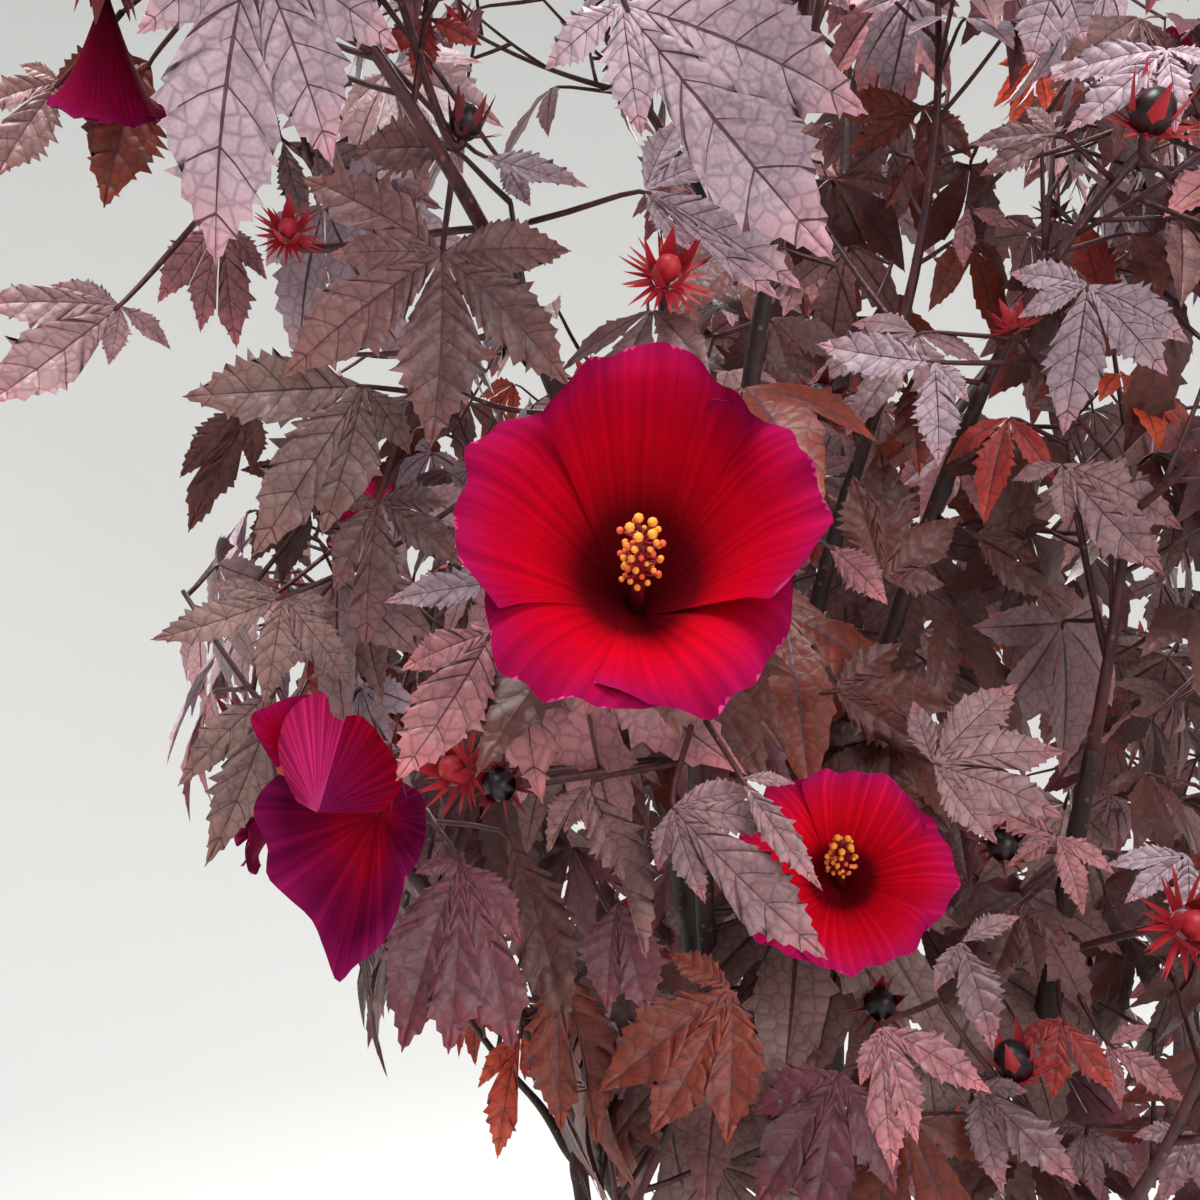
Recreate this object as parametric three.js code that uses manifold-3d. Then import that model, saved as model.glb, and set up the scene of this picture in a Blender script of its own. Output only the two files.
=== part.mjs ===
// A maroon-leaved hibiscus shrub with dark red blooms, rooted in level ground.
// Millimetres, +Z up, -Y is the shrub's front. The origin is the middle of the flat cut
// under the main stem, at ground level.
//
// The main stem forks into canes. Canes carry boughs, and every cane and bough ends where it
// enters a mass of foliage. A mass is one leader with twigs, and the palmate leaves, blooms and
// seed capsules on them, all fused together. Each mass keeps to its own cell of the crown.

import * as THREE from 'three';
import { mergeVertices } from 'three/addons/utils/BufferGeometryUtils.js';
import Module from 'manifold-3d';

const wasm = await Module();
wasm.setup();

const UP = new THREE.Vector3(0, 0, 1);
const CROWN_MIDDLE = new THREE.Vector3(30, 0, 0); // leaves turn away from the upright through it
const GOLDEN_TURN = 137.5; // degrees from one leaf or twig to the next round a shoot
const MASS_TURN = 47; // degrees by which one mass's first twig is turned from the last one's
const SEED = 6; // of the first mass; the next ones follow, apart from rows with a seed of their own

const JOINT_GAP = 0.3; // left between a limb and what carries it
const CELL_MARGIN = 1.5; // kept by each mass to the sides of its own space
const SMALLEST_EDGE = 0.05; // shorter ones, left by joining, are closed up

const MAIN_STEM = {
  height: 240,
  footRadius: 23,
  topRadius: 15,
  flare: 1.6, // the root flare's radius at the ground, over footRadius
  flareHeight: 75,
  lean: new THREE.Vector3(10, -14, 0), // how far its tip stands from over its foot
  sides: 12,
  rings: 8,
};
const CANE = { footRadius: 9.5, tipRadius: 4, sides: 7, rings: 7 };
const BOUGH = { footRadius: 5, tipRadius: 3.3, sides: 5, rings: 3 };
const LIMB = {
  first: { out: 0.3, up: 0.08 }, // its curve's first handle, over the whole way out and up
  second: { out: 0.5, up: 0.62 },
  widest: 0.75, // its foot's radius over its carrier's radius there, at most
  entry: 0.46, // how far from a mass's middle the limb ends, over the mass's reach
  climb: 50, // degrees, from its fork to its end
  forks: { first: 0.2, last: 0.9, step: 0.01 }, // shares of the carrier where it may fork
  clear: 3, // between a limb and the leaves of other limbs' masses
};

// A leader runs from its limb's tip past the mass's middle. Lengths are over the mass's reach.
const LEADER = {
  footRadius: 3, tipRadius: 1.7, sides: 3, rings: 2,
  beyond: 0.34, lift: 0.14, bow: 0.5,
  leaves: [0.38, 0.68, 0.97],
};
const TWIG = {
  count: 3, footRadius: 2.4, tipRadius: 1.6, sides: 3, rings: 1,
  first: 0.2, last: 0.84, // where they leave the leader
  length: 0.6, shorter: 0.2, // the lowest one's, and how much less at the leader's tip
  uneven: [0.85, 1.15], turnJitter: 30,
  forward: 0.55, up: 0.25, rise: 0.18,
  leaves: [0.35, 0.66, 0.97],
  tries: 4, nextTurn: 72,
  tested: [0.4, 0.6, 0.8, 1],
};

// A leaf's lobes: turn in degrees from its middle lobe, and length over the middle one's.
const LEAF = {
  length: 112, // of the middle lobe, larger than life, as the solids have fewer leaves
  uneven: [0.82, 1.08],
  lobes: {
    five: [[-98, 0.62], [-50, 0.9], [0, 1], [50, 0.9], [98, 0.62]],
    three: [[-58, 0.72], [0, 1], [58, 0.72]],
  },
  fiveLobed: 0.6, // share of the leaves
  notch: 0.34, // how far out the notches between lobes lie, over the lobes beside them
  shoulder: { turn: 40, length: 0.14 }, // the blade's edge beside the petiole
  thickness: 2.6, // at the petiole's end, from where the blade thins to its edge
  droop: 0.2,
  petiole: { length: [34, 54], width: 2.6, sunk: 0.4, forward: 0.45, up: 0.25 },
  heading: { out: 0.55, away: 0.45, down: [0.35, 1.0] },
  lean: { away: 0.5, aside: [-0.3, 0.3] },
  tries: 10, nextTurn: 63, turnJitter: 20,
  tested: [0.25, 0.5, 0.75], // shares of each lobe that must lie in the mass's space
  rooted: 14, // cubic millimetres of a petiole that lie inside its own shoot, at most
};

// Blooms: lengths are over the bloom's radius, and heights are from its rim along its axis.
const BLOOM = {
  profile: [[0, -0.66], [0.5, -0.34], [1, 0], [0.55, -0.22], [0.09, -0.5], [0, 0.1]],
  rim: 2, // the profile's point at the petals' edge
  petals: 5,
  notch: 0.86, // the rim's radius between two petals
  calyx: { top: -0.6, foot: -0.95, radius: 0.2, sides: 5 },
  stalk: { radius: 2.2, footRadius: 1.8, sunk: 2, sides: 3 },
  room: { radius: 1.02, behind: 0.7, ahead: 170 }, // where no leaf grows, ahead in millimetres
};
const CAPSULE = {
  radius: 8.5, length: 24, widest: 0.3, sides: 5,
  stalk: 14, stalkRadius: 1.7, sunk: 4,
  every: 2, // one on every second mass
};

// The masses of foliage: middle and reach of each, and the limb that its own limb grows from.
// Some rows fix how far along that limb the fork is, a point the new limb passes, or its end.
const MASSES = [
  { name: 'front_top_left', cane: true, from: 'main_stem', along: 0.78, middle: [-185, -345, 1450],
    reach: 190, via: [-66, -175, 1182], end: [-138, -317, 1403] },
  { name: 'front_left', from: 'cane_front_top_left', middle: [-205, -300, 1250], reach: 175 },
  { name: 'front_middle', from: 'cane_front_top_left', middle: [-75, -345, 1290], reach: 170 },
  { name: 'front_low_left', from: 'cane_front_top_left', middle: [-105, -300, 1100], reach: 175, seed: 42 },
  { name: 'front_top', from: 'cane_front_top_left', along: 0.78, middle: [-35, -330, 1465], reach: 175 },
  { name: 'front_rise', from: 'cane_front_top_left', along: 0.73, middle: [35, -190, 1500], reach: 165,
    end: [15, -185, 1361] },
  { name: 'front_top_right', from: 'cane_front_top_left', along: 0.69, middle: [155, -235, 1460], reach: 180,
    end: [50, -235, 1370] },
  { name: 'front_foot', from: 'cane_front_top_left', middle: [-60, -260, 840], reach: 180, seed: 40 },
  { name: 'front_right', cane: true, from: 'main_stem', along: 0.58, middle: [90, -265, 1310], reach: 180 },
  { name: 'front_low_right', from: 'cane_front_right', middle: [85, -300, 1105], reach: 180 },
  { name: 'front_right_foot', from: 'cane_front_right', middle: [140, -200, 650], reach: 175 },
  { name: 'right', cane: true, from: 'main_stem', along: 0.42, middle: [320, -80, 1310], reach: 200 },
  { name: 'right_low', from: 'cane_right', middle: [310, -130, 1060], reach: 190 },
  { name: 'right_foot', from: 'cane_right', middle: [270, -60, 800], reach: 185 },
  { name: 'right_back', from: 'cane_right', middle: [280, 140, 1190], reach: 195 },
  { name: 'top', cane: true, from: 'main_stem', along: 0.97, middle: [45, 0, 1665], reach: 190 },
  { name: 'top_left', from: 'cane_top', middle: [-105, -110, 1590], reach: 180, seed: 41 },
  { name: 'top_right', from: 'cane_top', middle: [200, 20, 1520], reach: 190 },
  { name: 'heart', from: 'cane_top', middle: [-50, -90, 1330], reach: 165 },
  { name: 'back', cane: true, from: 'main_stem', along: 0.74, middle: [50, 290, 1270], reach: 195 },
  { name: 'back_top', from: 'cane_back', middle: [35, 175, 1500], reach: 190 },
  { name: 'back_low', from: 'cane_back', middle: [-40, 260, 1010], reach: 185 },
  { name: 'back_right_foot', from: 'cane_back', middle: [170, 210, 880], reach: 185 },
  { name: 'left_back', cane: true, from: 'main_stem', along: 0.58, middle: [-175, 160, 1330], reach: 190 },
  { name: 'left', from: 'cane_left_back', middle: [-185, -50, 1225], reach: 170 },
  { name: 'left_low', from: 'cane_left_back', middle: [-195, 120, 1050], reach: 180 },
  { name: 'left_foot', from: 'cane_left_back', middle: [-140, 60, 720], reach: 180 },
];

// Blooms: the mass that carries each, the middle of its rim, the way it faces and its width.
const BLOOMS = [
  { mass: 'front_middle', at: [-90, -421, 1292], faces: [0.02, -1, 0.3], across: 95 },
  { mass: 'front_left', at: [-178, -372, 1213], faces: [-0.86, -0.42, -0.3], across: 84 },
  { mass: 'front_low_right', at: [-6, -278, 1186], faces: [-0.3, -1, 0.02], across: 78 },
  { mass: 'front_top_left', at: [-266, -322, 1451], faces: [-0.8, -0.3, -0.5], across: 70 },
  { mass: 'front_right', at: [145, -330, 1205], faces: [0.5, -1, 0.1], across: 78 },
  { mass: 'right', at: [400, -170, 1350], faces: [0.8, -0.7, 0.2], across: 84 },
  { mass: 'right_low', at: [365, -235, 1085], faces: [0.5, -0.9, 0.1], across: 80 },
  { mass: 'right_back', at: [385, 170, 1230], faces: [0.9, 0.4, 0.2], across: 84 },
  { mass: 'back', at: [70, 400, 1300], faces: [0.1, 1, 0.2], across: 86 },
  { mass: 'back_low', at: [-60, 350, 1040], faces: [-0.2, 1, 0.1], across: 80 },
  { mass: 'left_back', at: [-270, 190, 1370], faces: [-0.9, 0.4, 0.3], across: 84 },
  { mass: 'left', at: [-282, -50, 1190], faces: [-1, -0.1, 0.1], across: 80 },
  { mass: 'top_left', at: [-165, -185, 1680], faces: [-0.5, -0.6, 0.6], across: 80 },
  { mass: 'top_right', at: [270, 40, 1620], faces: [0.7, 0, 0.7], across: 80 },
];

const COLOURS = {
  bark: { color: 0x3a1a1c, roughness: 0.75, metalness: 0 },
  foliage: { color: 0x5d3a40, roughness: 0.6, metalness: 0 },
};

// A generator of numbers from 0 to 1 that repeats from the same seed.
function seededRandom(seed) {
  let state = (seed * 2654435761) >>> 0;
  return () => {
    state = (Math.imul(state, 1664525) + 1013904223) >>> 0;
    return state / 4294967296;
  };
}

const vector = (xyz) => new THREE.Vector3(...xyz);
const mixed = (a, b, share) => a + (b - a) * share;
const within = ([low, high], random) => mixed(low, high, random());
const degrees = THREE.MathUtils.degToRad;

// A direction that isn't near another one.
function awayFrom(forward) {
  return Math.abs(forward.y) < 0.9 ? new THREE.Vector3(0, 1, 0) : new THREE.Vector3(1, 0, 0);
}

// Two directions square to a third, as side x forward = over.
function squareTo(forward, reference = awayFrom(forward)) {
  const side = new THREE.Vector3().crossVectors(forward, reference).normalize();
  const over = new THREE.Vector3().crossVectors(side, forward).normalize();
  return { side, over };
}

// The direction round a shoot at an angle, square to the way that the shoot runs.
function roundShoot(forward, angle) {
  const { side, over } = squareTo(forward);
  return side.multiplyScalar(Math.cos(angle)).addScaledVector(over, Math.sin(angle));
}

function solidOf(geometry) {
  const bare = geometry.index ? geometry.toNonIndexed() : geometry.clone();
  bare.deleteAttribute('normal');
  bare.deleteAttribute('uv');
  const merged = mergeVertices(bare, 1e-3);
  const mesh = new wasm.Mesh({
    numProp: 3,
    vertProperties: new Float32Array(merged.attributes.position.array),
    triVerts: new Uint32Array(merged.index.array),
  });
  return new wasm.Manifold(mesh);
}

const largestBody = (solid) => solid.decompose().sort((a, b) => b.volume() - a.volume())[0];

function geometryOf(solid) {
  const mesh = solid.getMesh();
  const places = new Float32Array(mesh.numVert * 3);
  for (let i = 0; i < mesh.numVert; i += 1) {
    places.set(mesh.vertProperties.subarray(i * mesh.numProp, i * mesh.numProp + 3), i * 3);
  }
  const geometry = new THREE.BufferGeometry();
  geometry.setAttribute('position', new THREE.BufferAttribute(places, 3));
  geometry.setIndex(new THREE.BufferAttribute(new Uint32Array(mesh.triVerts), 1));
  geometry.computeVertexNormals();
  return geometry;
}

// A cylinder bent along a curve, its radius given at each share of the way. One reference for its whole
// length keeps it from twisting.
function limbSolid(limb, grown = 0) {
  const { curve, radiusAt, sides, rings } = limb;
  const chord = curve.getPoint(1).sub(curve.getPoint(0)).normalize();
  const reference = squareTo(chord).side;
  const geometry = new THREE.CylinderGeometry(1, 1, 1, sides, rings);
  const position = geometry.getAttribute('position');
  for (let i = 0; i < position.count; i += 1) {
    const share = position.getY(i) + 0.5;
    const radius = radiusAt(share) + grown;
    const { side, over } = squareTo(curve.getTangent(share), reference);
    const place = curve.getPoint(share);
    place.addScaledVector(side, position.getX(i) * radius);
    place.addScaledVector(over, position.getZ(i) * radius);
    position.setXYZ(i, place.x, place.y, place.z);
  }
  return solidOf(geometry);
}

function mainStem() {
  const { height, footRadius, topRadius, flare, flareHeight, lean, sides, rings } = MAIN_STEM;
  const tip = new THREE.Vector3(lean.x, lean.y, height);
  const bow = new THREE.Vector3(0, 0, height / 2);
  const curve = new THREE.QuadraticBezierCurve3(new THREE.Vector3(), bow, tip);
  const radiusAt = (share) => {
    const spread = 1 + (flare - 1) * Math.max(0, 1 - (share * height) / flareHeight) ** 2;
    return mixed(footRadius, topRadius, share) * spread;
  };
  return { name: 'main_stem', curve, radiusAt, sides, rings };
}

// The share of the way along a carrier where a limb to a point climbs at the angle of its kind.
function forkShare(carrier, point) {
  const { first, last, step } = LIMB.forks;
  let best = { share: first, miss: Infinity };
  for (let share = first; share < last; share += step) {
    const way = point.clone().sub(carrier.curve.getPoint(share));
    const climb = Math.atan2(way.z, Math.hypot(way.x, way.y));
    const miss = Math.abs(climb - degrees(LIMB.climb));
    if (miss < best.miss) best = { share, miss };
  }
  return best.share;
}

// The second handle that takes a cubic curve through a point.
function handleThrough(via, foot, first, end) {
  const t = foot.distanceTo(via) / (foot.distanceTo(via) + via.distanceTo(end));
  const handle = via.clone().addScaledVector(foot, -((1 - t) ** 3)).addScaledVector(end, -(t ** 3));
  return handle.addScaledVector(first, -3 * (1 - t) ** 2 * t).divideScalar(3 * (1 - t) * t ** 2);
}

// A limb from a point inside its carrier, out and then up to where it enters its mass.
function limbTo(mass, carrier) {
  const size = mass.cane ? CANE : BOUGH;
  const aim = vector(mass.end ?? mass.middle);
  const share = mass.along ?? forkShare(carrier, aim);
  const foot = carrier.curve.getPoint(share);
  const way = aim.clone().sub(foot);
  if (!mass.end) way.addScaledVector(way.clone().normalize(), -mass.reach * LIMB.entry);
  const end = foot.clone().add(way);
  const handle = ({ out, up }) => foot.clone().add(new THREE.Vector3(way.x * out, way.y * out, way.z * up));
  const first = handle(LIMB.first);
  const second = mass.via ? handleThrough(vector(mass.via), foot, first, end) : handle(LIMB.second);
  const footRadius = Math.min(size.footRadius, carrier.radiusAt(share) * LIMB.widest);
  return {
    name: (mass.cane ? 'cane_' : 'bough_') + mass.name,
    curve: new THREE.CubicBezierCurve3(foot, first, second, end),
    radiusAt: (along) => mixed(footRadius, size.tipRadius, along),
    sides: size.sides,
    rings: size.rings,
    carrier,
  };
}

function allLimbs() {
  const limbs = new Map([['main_stem', mainStem()]]);
  for (const mass of MASSES) {
    const limb = limbTo(mass, limbs.get(mass.from));
    mass.limb = limb;
    limbs.set(limb.name, limb);
  }
  return [...limbs.values()];
}

function shootOf(size, foot, bow, end) {
  return {
    curve: new THREE.QuadraticBezierCurve3(foot, bow, end),
    radiusAt: (share) => mixed(size.footRadius, size.tipRadius, share),
    sides: size.sides,
    rings: size.rings,
    leaves: size.leaves,
  };
}

function leaderOf(mass) {
  const { curve } = mass.limb;
  const heading = curve.getTangent(1);
  const foot = curve.getPoint(1).addScaledVector(heading, JOINT_GAP);
  const middle = vector(mass.middle);
  const outward = middle.clone().sub(foot).normalize();
  const end = middle.clone().addScaledVector(outward, mass.reach * LEADER.beyond);
  end.addScaledVector(UP, mass.reach * LEADER.lift);
  const bow = foot.clone().addScaledVector(heading, foot.distanceTo(end) * LEADER.bow);
  return shootOf(LEADER, foot, bow, end);
}

function twigOf(mass, index, attempt, random) {
  const { curve } = mass.leader;
  const share = mixed(TWIG.first, TWIG.last, index / (TWIG.count - 1));
  const turn = mass.firstTurn + index * GOLDEN_TURN + attempt * TWIG.nextTurn + random() * TWIG.turnJitter;
  const forward = curve.getTangent(share);
  const heading = roundShoot(forward, degrees(turn)).addScaledVector(forward, TWIG.forward);
  heading.addScaledVector(UP, TWIG.up).normalize();
  const length = mass.reach * (TWIG.length - TWIG.shorter * share) * within(TWIG.uneven, random);
  const foot = curve.getPoint(share);
  const bow = foot.clone().addScaledVector(heading, length / 2);
  const end = foot.clone().addScaledVector(heading, length).addScaledVector(UP, length * TWIG.rise);
  return shootOf(TWIG, foot, bow, end);
}

// A leaf's place and shape: where its petiole starts and ends, and the blade's edge and ribs.
function leafAt(shoot, share, turn, random) {
  const start = shoot.curve.getPoint(share);
  const forward = shoot.curve.getTangent(share);
  const out = roundShoot(forward, degrees(turn));
  const reach = out.clone().addScaledVector(forward, LEAF.petiole.forward);
  reach.addScaledVector(UP, LEAF.petiole.up).normalize();
  const base = start.clone().addScaledVector(reach, within(LEAF.petiole.length, random));

  const away = base.clone().sub(CROWN_MIDDLE).setZ(0).normalize();
  const heading = reach.clone().multiplyScalar(LEAF.heading.out).addScaledVector(away, LEAF.heading.away);
  heading.addScaledVector(UP, -within(LEAF.heading.down, random)).normalize();
  const lean = UP.clone().addScaledVector(away, LEAF.lean.away);
  lean.addScaledVector(out, within(LEAF.lean.aside, random));
  const cross = new THREE.Vector3().crossVectors(heading, lean).normalize();
  const normal = new THREE.Vector3().crossVectors(cross, heading).normalize();

  const length = LEAF.length * within(LEAF.uneven, random);
  const at = (angle, distance) => {
    const place = base.clone().addScaledVector(heading, Math.cos(degrees(angle)) * distance);
    place.addScaledVector(cross, Math.sin(degrees(angle)) * distance);
    return place.addScaledVector(normal, (-LEAF.droop * distance * distance) / length);
  };
  const lobes = random() < LEAF.fiveLobed ? LEAF.lobes.five : LEAF.lobes.three;
  const { shoulder } = LEAF;
  const edge = [at(lobes[0][0] - shoulder.turn, length * shoulder.length)];
  lobes.forEach(([angle, long], i) => {
    edge.push(at(angle, length * long));
    if (i === lobes.length - 1) return;
    const [nextAngle, nextLong] = lobes[i + 1];
    edge.push(at((angle + nextAngle) / 2, (length * LEAF.notch * (long + nextLong)) / 2));
  });
  edge.push(at(lobes.at(-1)[0] + shoulder.turn, length * shoulder.length));
  const ribs = lobes.flatMap(([angle, long]) => LEAF.tested.map((part) => at(angle, length * long * part)));
  return { start, base, edge, ribs, normal, reach };
}

// A leaf as one closed body: a blade that thins to its edge, and a three-sided petiole.
function leafSolid({ start, base, edge, normal, reach }) {
  const { thickness, petiole } = LEAF;
  const top = base.clone().addScaledVector(normal, thickness / 2);
  const bottom = base.clone().addScaledVector(normal, -thickness / 2);
  const across = edge[0].clone().sub(edge.at(-1)).normalize();
  const under = new THREE.Vector3().crossVectors(across, reach).normalize();
  if (under.dot(normal) > 0) under.negate();
  const foot = start.clone().addScaledVector(reach, -petiole.sunk);
  const corner = (aside, down) => {
    const place = foot.clone().addScaledVector(across, (aside * petiole.width) / 2);
    return place.addScaledVector(under, (down * petiole.width) / 2);
  };
  const [footA, footB, footC] = [corner(1, -0.5), corner(-1, -0.5), corner(0, 1)];
  const first = edge[0];
  const last = edge.at(-1);
  const faces = [
    [top, first, last],
    [first, footA, footB], [first, footB, last],
    [first, bottom, footC], [first, footC, footA],
    [last, footB, footC], [last, footC, bottom],
    [footA, footC, footB],
  ];
  for (let i = 0; i + 1 < edge.length; i += 1) {
    faces.push([top, edge[i + 1], edge[i]], [bottom, edge[i], edge[i + 1]]);
  }
  return solidOf(new THREE.BufferGeometry().setFromPoints(faces.flat()));
}

// Turns a shape that stands on +Y so that it stands on a direction, and puts it in place.
function stand(geometry, at, direction) {
  const turn = new THREE.Quaternion().setFromUnitVectors(new THREE.Vector3(0, 1, 0), direction);
  return geometry.applyQuaternion(turn).translate(at.x, at.y, at.z);
}

// A funnel of five petals with its column, closed at the back.
function bloomSolid(bloom) {
  const radius = bloom.across / 2;
  const profile = BLOOM.profile.map(([r, h]) => new THREE.Vector2(r * radius, h * radius));
  const segments = 2 * BLOOM.petals;
  const geometry = new THREE.LatheGeometry(profile, segments);
  const position = geometry.getAttribute('position');
  for (let segment = 1; segment < segments; segment += 2) {
    const i = segment * profile.length + BLOOM.rim;
    position.setX(i, position.getX(i) * BLOOM.notch);
    position.setZ(i, position.getZ(i) * BLOOM.notch);
  }
  return solidOf(stand(geometry, vector(bloom.at), bloom.facing));
}

// A straight tapering stalk between two points, closed at both ends.
function stalkSolid(from, to, fromRadius, toRadius, sides) {
  const way = to.clone().sub(from);
  const geometry = new THREE.CylinderGeometry(toRadius, fromRadius, way.length(), sides, 1);
  const middle = from.clone().addScaledVector(way, 0.5);
  return solidOf(stand(geometry, middle, way.normalize()));
}

// The point of a mass's shoots that lies nearest a place.
function nearestOn(shoots, place) {
  const shares = [0.2, 0.35, 0.5, 0.65, 0.8, 0.95];
  const points = shoots.flatMap((shoot) => shares.map((share) => shoot.curve.getPoint(share)));
  return points.sort((a, b) => a.distanceTo(place) - b.distanceTo(place))[0];
}

function bloomPieces(bloom, shoots) {
  const { calyx, stalk } = BLOOM;
  const radius = bloom.across / 2;
  const along = (height) => vector(bloom.at).addScaledVector(bloom.facing, height * radius);
  const foot = along(calyx.foot);
  const end = foot.clone().addScaledVector(bloom.facing, stalk.sunk);
  return [
    bloomSolid(bloom),
    stalkSolid(foot, along(calyx.top), stalk.radius, calyx.radius * radius, calyx.sides),
    stalkSolid(nearestOn(shoots, foot), end, stalk.footRadius, stalk.radius, stalk.sides),
  ];
}

// A seed capsule on a short stalk at a shoot's tip.
function capsulePieces({ curve }) {
  const { radius, length, widest, sides, stalk, stalkRadius, sunk } = CAPSULE;
  const tip = curve.getPoint(1);
  const forward = curve.getTangent(1);
  const along = (distance) => tip.clone().addScaledVector(forward, distance);
  const profile = [[0, 0], [radius, length * widest], [0, length]];
  const body = new THREE.LatheGeometry(profile.map((place) => new THREE.Vector2(...place)), sides);
  return [
    solidOf(stand(body, along(stalk), forward)),
    stalkSolid(along(-sunk), along(stalk + sunk), stalkRadius, stalkRadius, LEADER.sides),
  ];
}

// How far a point lies inside a mass's own cell of the crown: its ball, cut by its neighbours.
function depthInCell(mass, point) {
  const power = (other) => point.distanceToSquared(vector(other.middle)) - other.reach ** 2;
  const toOthers = MASSES.filter((other) => other !== mass).map((other) => {
    const apart = vector(other.middle).distanceTo(vector(mass.middle));
    return (power(other) - power(mass)) / (2 * apart);
  });
  return Math.min(mass.reach - point.distanceTo(vector(mass.middle)), ...toOthers);
}

// A bloom's own room and the open air in front of it.
function inBloomRoom(point) {
  return BLOOMS.some((bloom) => {
    const radius = bloom.across / 2;
    const offset = point.clone().sub(vector(bloom.at));
    const ahead = offset.dot(bloom.facing);
    if (ahead < -radius * BLOOM.room.behind || ahead > BLOOM.room.ahead) return false;
    return offset.addScaledVector(bloom.facing, -ahead).length() < radius * BLOOM.room.radius;
  });
}

function inOwnSpace(mass, points) {
  return points.every((point) => depthInCell(mass, point) > CELL_MARGIN && !inBloomRoom(point));
}

const meets = (solid, others) => others.some((other) => !solid.intersect(other).isEmpty());

// The leader and its twigs, less those that would leave the mass's space or touch a limb.
function shootsOf(mass, random, barriers) {
  const shoots = [mass.leader];
  for (let i = 0; i < TWIG.count; i += 1) {
    for (let attempt = 0; attempt < TWIG.tries; attempt += 1) {
      const twig = twigOf(mass, i, attempt, random);
      const points = TWIG.tested.map((share) => twig.curve.getPoint(share));
      if (inOwnSpace(mass, points) && !meets(limbSolid(twig), barriers)) {
        shoots.push(twig);
        break;
      }
    }
  }
  for (const shoot of shoots) shoot.solid = limbSolid(shoot);
  return shoots;
}

// Leaves round every shoot. One that would leave the mass's space or touch a limb, a bloom,
// another leaf or any shoot but its own is turned on, and at last skipped.
function leavesOf(mass, shoots, blossom, random, barriers) {
  const leaves = [];
  let count = 0;
  for (const shoot of shoots) {
    const others = shoots.filter((other) => other !== shoot).map((other) => other.solid);
    for (const share of shoot.leaves) {
      count += 1;
      for (let attempt = 0; attempt < LEAF.tries; attempt += 1) {
        const jitter = within([-LEAF.turnJitter, LEAF.turnJitter], random);
        const leaf = leafAt(shoot, share, count * GOLDEN_TURN + attempt * LEAF.nextTurn + jitter, random);
        if (!inOwnSpace(mass, [...leaf.edge, ...leaf.ribs, leaf.base])) continue;
        const solid = leafSolid(leaf);
        const rooted = solid.intersect(shoot.solid).volume() < LEAF.rooted;
        if (rooted && !meets(solid, [...barriers, ...others, ...blossom, ...leaves])) {
          leaves.push(solid);
          break;
        }
      }
    }
  }
  return leaves;
}

function massSolid(mass, index, barriers) {
  const random = seededRandom(mass.seed ?? SEED + index);
  const shoots = shootsOf(mass, random, barriers);
  const blossom = BLOOMS.flatMap((bloom) => (bloom.mass === mass.name ? bloomPieces(bloom, shoots) : []));
  if (index % CAPSULE.every === 0) blossom.push(...capsulePieces(mass.leader));
  const leaves = leavesOf(mass, shoots, blossom, random, barriers);
  const pieces = [...shoots.map((shoot) => shoot.solid), ...blossom, ...leaves];
  return largestBody(pieces.reduce((whole, piece) => whole.add(piece)).simplify(SMALLEST_EDGE));
}

function material({ color, roughness, metalness }, name) {
  return new THREE.MeshStandardMaterial({ color, roughness, metalness, name });
}

function meshOf(name, solid, look) {
  const mesh = new THREE.Mesh(geometryOf(solid), look);
  mesh.name = name;
  return mesh;
}

function shrub() {
  const group = new THREE.Group();
  const bark = material(COLOURS.bark, 'bark');
  const foliage = material(COLOURS.foliage, 'foliage');
  for (const bloom of BLOOMS) bloom.facing = vector(bloom.faces).normalize();

  const limbs = allLimbs();
  for (const limb of limbs) {
    let solid = limbSolid(limb);
    if (limb.carrier) solid = solid.subtract(limbSolid(limb.carrier, JOINT_GAP)).simplify(SMALLEST_EDGE);
    group.add(meshOf(limb.name, largestBody(solid), bark));
  }

  MASSES.forEach((mass, i) => {
    mass.leader = leaderOf(mass);
    mass.firstTurn = i * MASS_TURN;
  });
  MASSES.forEach((mass, i) => {
    const barriers = limbs.map((limb) => limbSolid(limb, mass.limb === limb ? JOINT_GAP / 2 : LIMB.clear));
    for (const other of MASSES) {
      if (other !== mass) barriers.push(limbSolid(other.leader, LIMB.clear));
    }
    group.add(meshOf('leaves_' + mass.name, massSolid(mass, i, barriers), foliage));
  });
  return group;
}

export default shrub();
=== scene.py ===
# Maroon-leaved hibiscus shrub in bloom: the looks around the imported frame.
# Growth is worked out in millimetres, as in the part's source, and meshes are made in metres.

import math

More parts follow.
